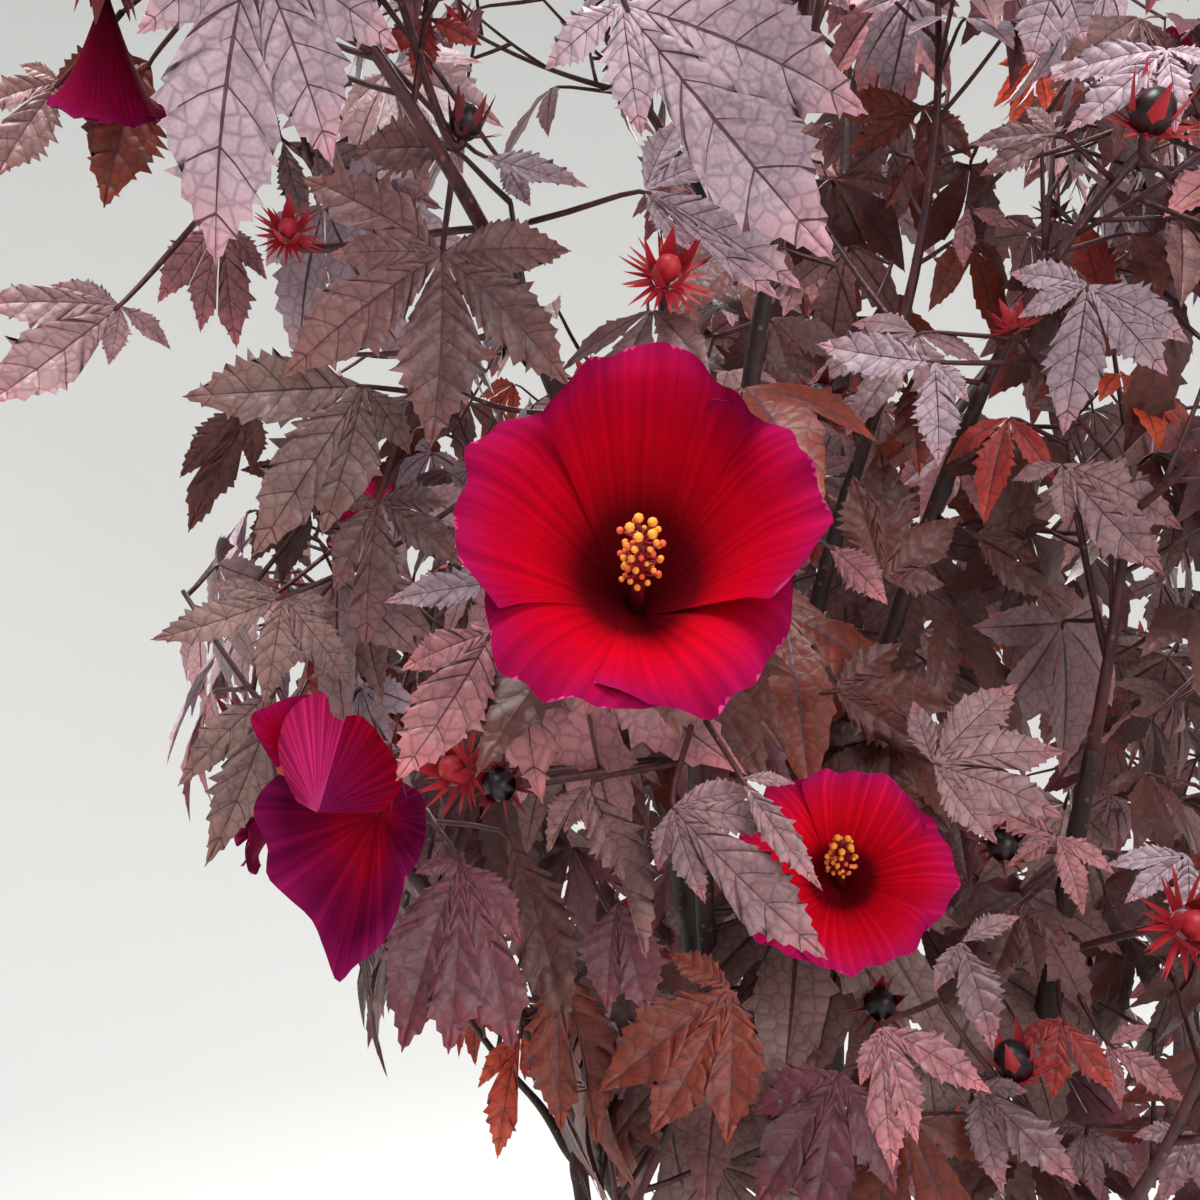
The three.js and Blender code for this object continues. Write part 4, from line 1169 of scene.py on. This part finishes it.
def reliefOf(kind, seed):
    height, share = barkRelief[kind]
    draw = np.random.default_rng(seed)
    ridges, spacing = barkWaves["ridges"][kind == "main"], barkWaves["scarSpacing"][kind == "main"]
    phases = draw.uniform(0, 6.28, 8)
    scars = draw.uniform(0.02, 0.98, barkWaves["scars"])

    def relief(points, turns, radii):
        run = np.concatenate([[0], np.cumsum(np.linalg.norm(np.diff(points, axis=0), axis=1))])
        wander = 0.5 * np.sin(run / 31 + phases[0]) + 0.3 * np.sin(run / 13 + phases[1])
        ridge = np.sin(ridges * turns[None] + wander[:, None] + phases[2]) \
            + 0.6 * np.sin((2 * ridges + 1) * turns[None] - 1.7 * wander[:, None] + phases[3]) \
            + 0.5 * np.sin(run[:, None] / 5.3 + 3 * turns[None] + phases[4])
        bumps = np.zeros((len(run), len(turns)))
        for k in range(1, int(run[-1] / spacing)):
            at = (k + 0.3 * scars[k % barkWaves["scars"]]) * spacing
            angle = math.radians(k * goldenTurn)
            gap = np.abs((turns[None] - angle + math.pi) % fullTurn - math.pi)
            bumps += np.exp(-((run[:, None] - at) / barkWaves["scarLength"]) ** 2) \
                * np.exp(-(gap / barkWaves["scarWidth"]) ** 2)
        return ridge * (height * 0.45 + share * 0.3 * radii[:, None]) * 0.55 + bumps * (0.9 + 0.12 * radii[:, None])
    return relief


def limbRun(limb, step):
    length = np.linalg.norm(np.diff(limb["points"], axis=0), axis=1).sum()
    shares = np.linspace(0, 1, max(8, int(length / step)))
    points, radii = bezier(limb["handles"], shares), radiusAt(limb, shares)
    if limb["carrier"]:  # as thin as its leader at the end, with a collar where it leaves its carrier
        run = shares * length
        radii = np.minimum(radii, leaderRule["footRadius"] + collars["taper"] * (length - run))
        radii = radii * (1 + collars["foot"] * np.exp(-run / (radii[0] * collars["footRun"])))
    for other in limbs.values():
        if other["carrier"] is limb:
            away = (shares - other["fork"]) * length / (radii * collars["forkRun"])
            radii = radii * (1 + collars["fork"] * np.exp(-away ** 2))
    return points, radii


barkPieces = {  # name, finish, slot, step along the limb in millimetres, corners around it
    "main": ("bark_main_stem", woodyBark, "woody_bark", 4, 56),
    "cane": ("bark_canes", youngBark, "young_bark", 3.5, 20),
    "bough": ("bark_boughs", youngBark, "young_bark", 4, 12),
}
for kind, (pieceName, finish, slot, step, corners) in barkPieces.items():
    sheaf, nodes = newSheaf(), []
    for i, limb in enumerate(limbs.values()):
        if limb["name"].startswith(kind):
            points, radii = limbRun(limb, step)
            main = kind == "main"
            tubeInto(sheaf, points, radii, corners, reliefOf(kind, 3 if main else i), footDepth=0 if main else 0.3)
            nodes.append(limb["name"])
    pieceOf(pieceName, sheaf, [finish], nodes, slot)

allMassNodes = ["leaves_" + name for name in massNames]


# Twigs and petioles.

petioleLooks = {"rings": 6, "corners": 5, "radii": (1.35, 0.85), "out": 4, "sag": 1.0, "before": 4, "into": 2.5}
twigLooks = {"rings": 12, "corners": 6, "radii": (1.3, 0.9), "longest": 62, "elbow": 0.3, "before": 12, "sag": 0.06}
stalkLooks = {"rings": 14, "corners": 7, "radii": (1.3, 1.9), "bow": 0.4, "before": (22, 0.35), "into": 0.3}


def bentTube(sheaf, handles, looks, size=1):
    rings = looks["rings"]
    path = bezier(handles, np.linspace(0, 1, rings))
    tubeInto(sheaf, path, np.linspace(*looks["radii"], rings) * size, looks["corners"])


def joinPetiole(leaf, sheaf):
    base, foot, heading = leaf["base"], leaf["start"], leaf["heading"]
    bow = foot + (base - foot) * 0.5 + leaf["reach"] * petioleLooks["out"] - up * petioleLooks["sag"]
    handles = [foot, bow, base - heading * petioleLooks["before"], base + heading * petioleLooks["into"]]
    bentTube(sheaf, handles, petioleLooks, 0.55 + 0.35 * leaf["size"])


feet = np.vstack([shoot["points"][2:11] for shoot in shoots if shoot["used"] > 0.8]
                 + [limb["points"][6:] for limb in limbs.values() if limb["carrier"]])
footCost = {"close": 160, "turned": 0.3, "before": 90, "inSky": 120}


def footFor(base, ahead):  # where a twig to a leaf or bloom best starts: near, behind it and out of the open sky
    far = np.linalg.norm(feet - base, axis=1)
    close = np.argsort(far)[:footCost["close"]]
    ways = mixed(feet[close][:, None], base, np.linspace(0.05, 0.86, 9)[:, None])
    before = standsBefore(ways.reshape(-1, 3)).reshape(len(close), -1).sum(1)
    inSky = np.array([inOpenWindow(way, 0.3) for way in ways])
    aligned = (base - feet[close]) @ ahead / far[close]
    cost = far[close] * (1 + footCost["turned"] - footCost["turned"] * aligned) \
        + before * footCost["before"] + inSky * footCost["inSky"]
    return feet[close[cost.argmin()]]


def joinLoose(leaf, sheaf, twigSheaf):
    stalk = leaf["stalk"]  # where the photo shows that its petiole starts
    foot = footFor(leaf["base"] if stalk is None else stalk, leaf["heading"])
    length = np.linalg.norm(leaf["base"] - foot)
    leaf["start"] = foot
    if length > twigLooks["longest"] or stalk is not None:  # a small twig carries it, and the petiole leaves that
        elbow = stalk
        if stalk is None:
            elbow = mixed(leaf["base"], foot, twigLooks["elbow"]) - leaf["heading"] * twigLooks["before"]
        bentTube(twigSheaf, [foot, (foot + elbow) / 2 - up * length * twigLooks["sag"], elbow], twigLooks)
        leaf["start"] = elbow
    leaf["reach"] = unit(leaf["base"] - leaf["start"])
    joinPetiole(leaf, sheaf)


twigSheaf, stalkSheaf = newSheaf(), newSheaf()
for shoot in shoots:
    if shoot["used"]:
        rings, corners = (7, 6) if shoot["rank"] == "finer" else (14, 8)
        shares = np.linspace(0, min(1, shoot["used"] + 0.03), rings)
        radii = mixed(shoot["radii"][0], shoot["radii"][-1], shares)
        tubeInto(twigSheaf, bezier(shoot["handles"], shares), radii, corners)
for leaf in placed + filledLeaves:
    joinLoose(leaf, stalkSheaf, twigSheaf)
for leaf in grownLeaves:
    joinPetiole(leaf, stalkSheaf)


# Leaf tones: dealt out leaf by leaf, darker inside the crown as painted shade, paler high up as painted sky sheen, and
# redder near the tips.

toneShares = {  # running shares of each tone
    "tip": ((0.2, "ember"), (0.5, "red"), (1.0, "pink")),
    "deep": ((0.34, "deep"), (0.58, "maroon"), (0.72, "rust"), (0.84, "olive"), (0.93, "grape"), (1.0, "mauve")),
    "high": ((0.3, "pale"), (0.56, "mauve"), (0.76, "maroon"), (0.86, "pink"), (0.93, "grape"), (1.0, "rust")),
    "low": ((0.12, "pale"), (0.36, "mauve"), (0.6, "maroon"), (0.7, "grape"), (0.77, "deep"), (0.87, "olive"),
            (0.95, "pink"), (1.0, "rust")),
}

crown = {"middle": (30, -30, 1230), "half": (330, 330, 420), "high": 1330, "upper": 1300}  # millimetres
tierReach = {"near": 390, "middle": 620, "margin": 150}  # millimetres from the lens, and pixels beyond the photo


def toneOf(leaf, draw):
    if "tone" in leaf:
        return leaf["tone"]
    outward = np.linalg.norm((leaf["base"] - np.array(crown["middle"])) / crown["half"])
    high = leaf["base"][2] > crown["high"]
    pick = draw.uniform()
    # painted shade: the deep shares inside the crown; painted sky sheen: more pale leaves in the high shares
    shares = toneShares["tip" if leaf["size"] < 0.62 else "deep" if outward < 0.86 else "high" if high else "low"]
    return next(tone for share, tone in shares if pick < share)


def tierOf(leaf):  # how fine its mesh is
    far = np.linalg.norm(leaf["base"] - lens)
    x, y, depth = (v[0] for v in toPixels(leaf["base"][None]))
    low, high = -tierReach["margin"], photoView["pixels"] + tierReach["margin"]
    if not (depth > 0 and low < x < high and low < y < high):
        return "far"
    return "near" if far < tierReach["near"] else "middle" if far < tierReach["middle"] else "far"


def areaOf(row):  # the piece that a mass's leaves go into
    area = row[0].split("_")[0]
    return area if area != "front" else "front_upper" if row[2][2] > crown["upper"] else "front_lower"


def buildLeaves():
    draw = np.random.default_rng(12)
    areas = {}
    for leaf in placed + grownLeaves + filledLeaves:
        leaf.setdefault("tier", tierOf(leaf))
        area = "placed" if "tone" in leaf else areaOf(masses[leaf["mass"]])
        places, faces, marks, uvs = bladeMesh(leaf)
        tone = tones.index(toneOf(leaf, draw))
        addTo(areas.setdefault(area, newSheaf()), places, faces, np.where(marks == 1, tones.index("vein"), tone), uvs)
    for area, sheaf in areas.items():
        nodes = ["leaves_" + row[0] for row in masses if areaOf(row) == area] or ["leaves_front_middle"]
        pieceOf("leaves_" + area + "_spray", sheaf, [leafMaterials[t] for t in tones], nodes, "foliage")


buildLeaves()


# Blooms: five petals wrapped one over the next, a column of anthers, and a spiky calyx.

def petalInto(sheaf, bloom, k, draw, rows, columns):
    radius, lean = bloom["radius"], bloom["lean"][k]
    u, v = np.meshgrid(np.linspace(-1, 1, columns), np.linspace(0, 1, rows))
    phases = draw.uniform(0, 6.28, 4)
    edge = 1 + 0.035 * np.sin(5 * u + phases[0]) * v ** 3 + 0.02 * np.sin(13 * u + phases[1]) * v ** 6
    x = u * radius * (petalLooks["foot"] + petalLooks["wide"] * v ** 0.85 * (1 - 0.2 * v ** 5))
    y = radius * v * edge * (1 - bloom["round"] * np.abs(u) ** 2.5 * v) * bloom["stretch"][k]
    rho, theta = np.hypot(x, y), np.arctan2(x, y) + bloom["turn"] + k * fullTurn / 5
    share = np.clip(rho / radius, 0, 1.2)
    h = -radius * bloom["depth"] * np.clip(1 - share, 0, 1) ** petalLooks["curve"]
    h = h - radius * petalLooks["recurve"] * np.clip(share - 0.72, 0, 1) ** 1.5 * 2
    h = h + radius * petalLooks["overlap"] * u * v
    h = h + radius * petalLooks["ruffle"] * np.sin(7 * u + phases[2]) * v ** 4 \
        + radius * petalLooks["frill"] * np.sin(17 * u + phases[3]) * v ** 6
    h = h + lean * radius * v ** 2
    rho = rho * (1 - np.abs(lean) * 0.45 * v)
    side, over, facing = bloom["side"], bloom["over"], bloom["facing"]
    places = bloom["middle"] + (rho * np.sin(theta))[..., None] * side + (rho * np.cos(theta))[..., None] * over \
        + h[..., None] * facing + (np.minimum(h, 0) * bloom["sag"])[..., None] * over
    petalSkins(sheaf, places, u, v, k, bloom["tones"], facing)


def petalSkins(sheaf, places, u, v, k, skins, facing):  # an inner and an outer skin that meet at the rim
    faces = gridFaces(*u.shape)
    uvs = np.stack([(u * 0.5 + 0.5 + k), v], 2).reshape(-1, 2)
    normals = np.cross(np.gradient(places, axis=1), np.gradient(places, axis=0))
    normals /= np.maximum(np.linalg.norm(normals, axis=2)[..., None], 1e-6)
    if (normals * facing).sum() < 0:
        normals = -normals
    inward = np.linspace(1, 0, len(u))[:, None]
    rim = np.minimum(np.minimum(1 - np.abs(u), inward) * 8, 1)[..., None]
    outer = places - normals * petalLooks["thick"] * rim
    addTo(sheaf, places.reshape(-1, 3), faces, skins[0], uvs)
    addTo(sheaf, outer.reshape(-1, 3), faces[:, ::-1], skins[1], uvs)


def smoothThrough(points, count):  # a curve through all the points
    points = np.asarray(points, float)
    around = np.vstack([2 * points[0] - points[1], points, 2 * points[-1] - points[-2]])
    at = np.linspace(0, len(points) - 1.0001, count)
    i = at.astype(int)
    f = (at - i)[:, None]
    a, b, c, d = around[i], around[i + 1], around[i + 2], around[i + 3]
    return b + 0.5 * f * (c - a + f * (2 * a - 5 * b + 4 * c - d + f * (3 * (b - c) + d - a)))


# The folded bloom at the left. Each petal: pixel and depth of its base, those of its rim, how far it bulges
# towards the lens in millimetres, its skins, and where it starts and ends between throat and rim.
foldedPetals = [
    ((379, 813, 384), [(279, 774, 358), (262, 790, 355), (253, 814, 352), (267, 845, 352), (267, 875, 351),
                       (286, 896, 350), (312, 921, 350), (325, 952, 350), (338, 982, 350), (355, 966, 352),
                       (377, 950, 355), (395, 921, 362), (406, 879, 370)], -5, (4, 1), (0.1, 1.0)),
    ((318, 813, 343), [(297, 802, 346), (285, 778, 350), (278, 748, 352), (285, 719, 354), (302, 699, 357),
                       (325, 694, 358), (332, 714, 354), (346, 722, 348)], 5, (1, 1), (1.0, 0.55)),
    ((318, 812, 343), [(346, 716, 348), (361, 716, 353), (379, 734, 358), (397, 764, 363), (402, 784, 365),
                       (390, 804, 360), (377, 813, 355)], 5, (4, 1), (1.0, 0.4)),
    ((296, 758, 368), [(276, 768, 362), (256, 735, 361), (251, 716, 361), (268, 706, 362), (291, 697, 363),
                       (326, 693, 364)], 2, (0, 0), (0.4, 1.0)),
    ((379, 813, 385), [(400, 780, 376), (422, 796, 384), (426, 826, 390), (420, 856, 386), (406, 879, 372)],
     -4, (4, 1), (0.3, 1.0)),
]


def foldedBloom(sheaf, draw, rows=24, columns=35):
    for k, (base, rim, bulge, skins, shade) in enumerate(foldedPetals):
        base = atPixel(base[:2], base[2])
        rim = smoothThrough([atPixel(place[:2], place[2]) for place in rim], columns)
        u, v = np.meshgrid(np.linspace(-1, 1, columns), np.linspace(0.02, 1, rows))
        toLens = unit(lens - base)
        phases = draw.uniform(0, 6.28, 3)
        height = bulge * np.sin(math.pi * v ** 0.9) * (1 - 0.6 * u ** 2) \
            + 0.7 * np.sin(11 * u + phases[0]) * v ** 3 + 0.35 * np.sin(29 * u + phases[1]) * v ** 4
        places = base + (rim[None] - base) * v[..., None] + height[..., None] * toLens
        petalSkins(sheaf, places, u, mixed(shade[0], shade[1], v), k, skins, toLens)


spikeShape = [(0, 1.0), (0.35, 0.9), (0.7, 0.5), (1.0, 0.05)]  # share along it, width


def spike(sheaf, foot, out, facing, length, width, tone=0):
    cross = unit(np.cross(out, facing))
    ahead = unit(out + facing * 0.6)
    middles = [foot + ahead * length * t + facing * length * 0.25 * t * t for t, w in spikeShape]
    back = unit(np.cross(cross, ahead))
    places = [middle + shift * w for shift in (-cross * width, -back * width * 0.5, cross * width)
              for middle, (t, w) in zip(middles, spikeShape)]
    addTo(sheaf, places, gridFaces(3, len(spikeShape)), tone)


calyxLooks = {  # lengths are shares of the radius
    "sepals": 5, "sepalJitter": 0.2, "sepalFoot": (0.55, 0.5), "sepalLength": (1.5, 2.0), "sepalWidth": 0.42,
    "bristles": (10, 26), "jitter": 0.15, "foot": (0.6, 0.7), "ahead": (0.0, 0.5), "length": (1.3, 1.9),
    "width": 0.13, "ball": (0.6, 0.95), "longer": 1.1,
}


def calyxInto(sheaf, middle, facing, radius, draw, fresh=False, fruit=True):
    looks, (side, over), tone = calyxLooks, squareTo(facing), 2 if fresh else 0
    for k in range(looks["sepals"]):
        jitter, (aside, behind) = looks["sepalJitter"], looks["sepalFoot"]
        out = onCircle(side, over, k * fullTurn / looks["sepals"] + draw.uniform(-jitter, jitter))
        spike(sheaf, middle + out * radius * aside - facing * radius * behind, out * 0.5 + facing * 0.4, facing,
              radius * draw.uniform(*looks["sepalLength"]), radius * looks["sepalWidth"], tone)
    bristles = looks["bristles"][fresh]
    for k in range(bristles):
        jitter, (aside, behind) = looks["jitter"], looks["foot"]
        out = onCircle(side, over, k * fullTurn / bristles + draw.uniform(-jitter, jitter))
        ahead = facing * draw.uniform(*looks["ahead"])
        spike(sheaf, middle + out * radius * aside - facing * radius * behind, out, ahead,
              radius * draw.uniform(*looks["length"]), radius * looks["width"], tone)
    ballInto(sheaf, middle, radius * looks["ball"][fruit], 7, 12, 1 if fruit else tone, facing, looks["longer"])


def stalkTo(middle, facing, radius):
    back = middle - facing * radius
    foot = footFor(back, facing)
    most, share = stalkLooks["before"]
    before = min(most, np.linalg.norm(back - foot) * share)
    bentTube(twigSheaf, [foot, foot + (back - foot) * stalkLooks["bow"], back - facing * before,
                         back + facing * radius * stalkLooks["into"]], stalkLooks)


photoFruit = [  # pixel, millimetres ahead of the lens, size, way it faces, fresh calyx, fruit
    ((668, 268), 420, 7.5, (0.1, -0.8, 0.3), True, False), ((500, 785), 395, 5.5, (-0.2, -1, 0.1), False, True),
    ((1153, 112), 430, 8, (0.1, -0.6, 0.6), True, True), ((288, 228), 450, 6, (0.2, -0.8, 0.2), True, False),
    ((466, 122), 425, 6, (0.2, -0.3, 1), False, True), ((452, 768), 402, 7, (-0.6, -0.8, 0.2), True, False),
    ((705, 690), 470, 7, (0, -1, 0), False, False), ((1002, 845), 470, 6, (0, -1, 0.2), False, True),
    ((1196, 925), 440, 9, (0.2, -1, 0.2), True, False), ((820, 400), 500, 7, (0, -1, 0.2), False, True),
    ((880, 1004), 462, 6, (0, -1, 0.4), False, True),
]


def aimed(x, y, z):
    facing = unit(vector((x, y, z)))
    over = unit(up - facing * (up @ facing))
    return {"facing": facing, "over": over, "side": np.cross(over, facing)}


seenBlooms = {  # what the photo shows of the blooms in front
    "front_middle": {**aimed(0.02, -1, 0.3), "turn": 0.05, "stretch": np.array((1.15, 1.06, 0.93, 0.95, 1.02)),
                     "lean": np.array((0.34, 0.28, -0.06, -0.06, 0.06)), "round": 0.45, "sag": 0.28, "rise": 0.27},
    "front_left": {"throat": atPixel((358, 765), 374), "column": 0.15},
    # its inner skin (2) is painted brighter: painted light on a bloom in the shade of the leaves above
    "front_low_right": {"middle": np.array((-16.0, -280, 1191)), "radius": 38.0, "tones": (2, 1), "rise": 0.3},
    # both skins (3) painted dark: painted shade on this bloom
    "front_top_left": {**aimed(-0.2, 0.6, -0.8), "middle": atPixel((107, 112), 445), "radius": 20.0,
                       "depth": 2.0, "tones": (3, 3), "column": 0.3},
}

bloomParts = {  # shares of the radius, millimetres, and how many
    "throat": 0.62, "filament": (3.8, 6.2), "filaments": (0.42, 0.58), "dust": (0.7, 1.0), "dusty": (46, 18),
    "stigmaOut": 3.0, "stigmaAhead": 3.5, "stigma": 1.3, "calyx": 8, "calyxBehind": 0.08,
}


def columnInto(dust, throat, tip, lean, count, draw):  # a red column with anthers all round and five stigmas
    tubeInto(dust, [throat, mixed(throat, tip, 0.5), tip], (2.0, 1.6, 1.3), 8, tone=2)
    for n in range(count):
        out = roundShoot(lean, n * goldenTurn)
        foot = mixed(throat, tip, bloomParts["filaments"][0] + bloomParts["filaments"][1] * (n / count))
        end = foot + (out * 0.9 + lean * 0.3) * draw.uniform(*bloomParts["filament"])
        tubeInto(dust, [foot, end], (0.35, 0.3), 4, tone=2)
        ballInto(dust, end, draw.uniform(*bloomParts["dust"]), tone=n % 3 > 0)
    for n in range(5):
        end = tip + lean * bloomParts["stigmaAhead"] + roundShoot(lean, n * 72) * bloomParts["stigmaOut"]
        ballInto(dust, end, bloomParts["stigma"], tone=1)
        tubeInto(dust, [tip - lean, end], (0.5, 0.4), 4, tone=2)


def buildBlooms():
    petals, dust, calyces = newSheaf(), newSheaf(), newSheaf()
    draw = np.random.default_rng(5)
    for i, (mass, middle, faces, across) in enumerate(blooms):
        facing = unit(vector(faces))
        side, over = squareTo(facing)
        bloom = {
            "middle": vector(middle), "facing": facing, "side": side, "over": over, "radius": across / 2,
            "turn": draw.uniform(0, 1.2), "stretch": draw.uniform(0.94, 1.05, 5), "lean": draw.uniform(-0.06, 0.1, 5),
            "depth": petalLooks["depth"], "round": petalLooks["round"], "sag": 0.0, "tones": (0, 1),
            "column": 0.66, "rise": 0.16, **seenBlooms.get(mass, {}),
        }
        if mass == "front_left":
            foldedBloom(petals, draw)
        else:
            for k in range(5):
                petalInto(petals, bloom, k, draw, *((30, 31) if i < 3 else (14, 15)))
        facing, over, radius = bloom["facing"], bloom["over"], bloom["radius"]
        if "throat" in bloom:
            bloom["middle"] = bloom["throat"] + facing * radius * bloomParts["throat"]
        throat = bloom["middle"] - facing * radius * bloomParts["throat"] \
            - over * radius * bloomParts["throat"] * bloom["sag"]
        lean = unit(facing + bloom["rise"] * up)
        tip = throat + lean * radius * bloom["column"]
        columnInto(dust, throat, tip, lean, bloomParts["dusty"][i > 3], draw)
        back = bloom["middle"] - facing * radius * (bloom["depth"] + bloomParts["calyxBehind"]) \
            - over * radius * 0.66 * bloom["sag"]
        calyxInto(calyces, back, facing, bloomParts["calyx"], draw, fruit=False)
        stalkTo(back, facing, bloomParts["calyx"])
    for pixel, depth, size, faces, fresh, fruit in photoFruit:
        middle, facing = atPixel(pixel, depth), unit(vector(faces))
        calyxInto(calyces, middle, facing, size, draw, fresh, fruit)
        stalkTo(middle, facing, size * 0.8)
    for shoot in [s for s in shoots if s["used"] > 0.9][3::5]:  # capsules at the ends of some shoots
        facing = unit(bezierTangent(shoot["handles"], 1) + up * 0.4)
        size = draw.uniform(5, 8)
        middle = shoot["points"][-1] + facing * size * 1.1
        test = middle[None]
        if inBloomRoom(test)[0] or hidesPhoto(test) or inOpenWindow(test, 0.5) or 0 < toPixels(test)[2][0] < 430:
            continue
        calyxInto(calyces, middle, facing, size, draw, fresh=draw.uniform() < 0.35, fruit=draw.uniform() < 0.7)
    holders = sorted({"leaves_" + row[0] for row in blooms})
    pieceOf("blossom_petals", petals, petalSkinsShown, holders, "blossom")
    pieceOf("blossom_anthers", dust, antherSkins, holders, "anthers")
    pieceOf("seed_capsules", calyces, capsuleSkins, allMassNodes, "seed_capsules")


buildBlooms()
pieceOf("twigs_fine", twigSheaf, [twigBark], allMassNodes, "young_bark")
pieceOf("leaf_stalks", stalkSheaf, [twigBark], allMassNodes, "young_foliage")


# Stage: a pale floor that rises into a round wall, soft lamps and a pale sky.

stage = {"flat": 3.4, "wall": 5.2, "height": 5.0, "colour": "#d9d8d6", "corners": 72}  # metres


def buildStage():
    bend = stage["wall"] - stage["flat"]
    profile = [(stage["flat"] * s, 0.0) for s in (0.2, 0.5, 0.8, 1.0)]
    profile += [(stage["flat"] + bend * math.sin(t), bend * (1 - math.cos(t)))
                for t in np.linspace(0.1, math.pi / 2, 12)] + [(stage["wall"], stage["height"])]
    corners = stage["corners"]
    turns = np.arange(corners) * fullTurn / corners
    places = [(r * math.cos(t), r * math.sin(t), z) for r, z in profile for t in turns] + [(0, 0, 0)]
    faces = [(a, (a + 1) % corners, len(places) - 1) for a in range(corners)]
    for i in range(len(profile) - 1):
        for j in range(corners):
            a, b = i * corners + j, i * corners + (j + 1) % corners
            faces.append((a, a + corners, b + corners, b))
    mesh = bpy.data.meshes.new("backdrop")
    mesh.from_pydata(places, [], faces)
    mesh.polygons.foreach_set("use_smooth", [True] * len(faces))
    mesh.materials.append(plainMaterial("backdrop_paper", stage["colour"], 0.9))
    backdrop = bpy.data.objects.new("backdrop", mesh)
    bpy.context.collection.objects.link(backdrop)


def addLamp(name, place, target, size, watts, colour="#ffffff"):
    data = bpy.data.lights.new(name, "AREA")
    data.shape, data.size, data.energy, data.color = "DISK", size, watts, linear(colour)[:3]
    lamp = bpy.data.objects.new(name, data)
    bpy.context.collection.objects.link(lamp)
    lamp.location = place
    way = np.subtract(target, place)
    lamp.rotation_euler = (math.acos(-way[2] / np.linalg.norm(way)), 0, math.atan2(way[1], way[0]) - math.pi / 2)


def addCamera():
    data = bpy.data.cameras.new("camera")
    data.angle = math.radians(photoView["angle"])
    data.clip_start = 0.02
    camera = bpy.data.objects.new("camera", data)
    bpy.context.collection.objects.link(camera)
    camera.location = np.array(photoView["place"]) * mm
    camera.rotation_euler = (math.radians(90 + photoView["tilt"]), 0, 0)
    bpy.context.scene.camera = camera


buildStage()
addLamp("key", (-0.7, -1.3, 4.2), (0, -0.1, 1.2), 1.3, 185)
addLamp("fill", (1.3, -2.5, 2.1), (0, 0, 1.2), 2.0, 52)
addLamp("rim", (0.6, 2.8, 3.6), (0, 0, 1.2), 2.0, 110)
addCamera()

world = bpy.data.worlds.new("pale_sky")
world.use_nodes = True
world.node_tree.nodes["Background"].inputs["Color"].default_value = linear("#eef2f6")
world.node_tree.nodes["Background"].inputs["Strength"].default_value = 0.55
bpy.context.scene.world = world
bpy.context.scene.view_settings.view_transform = "Standard"
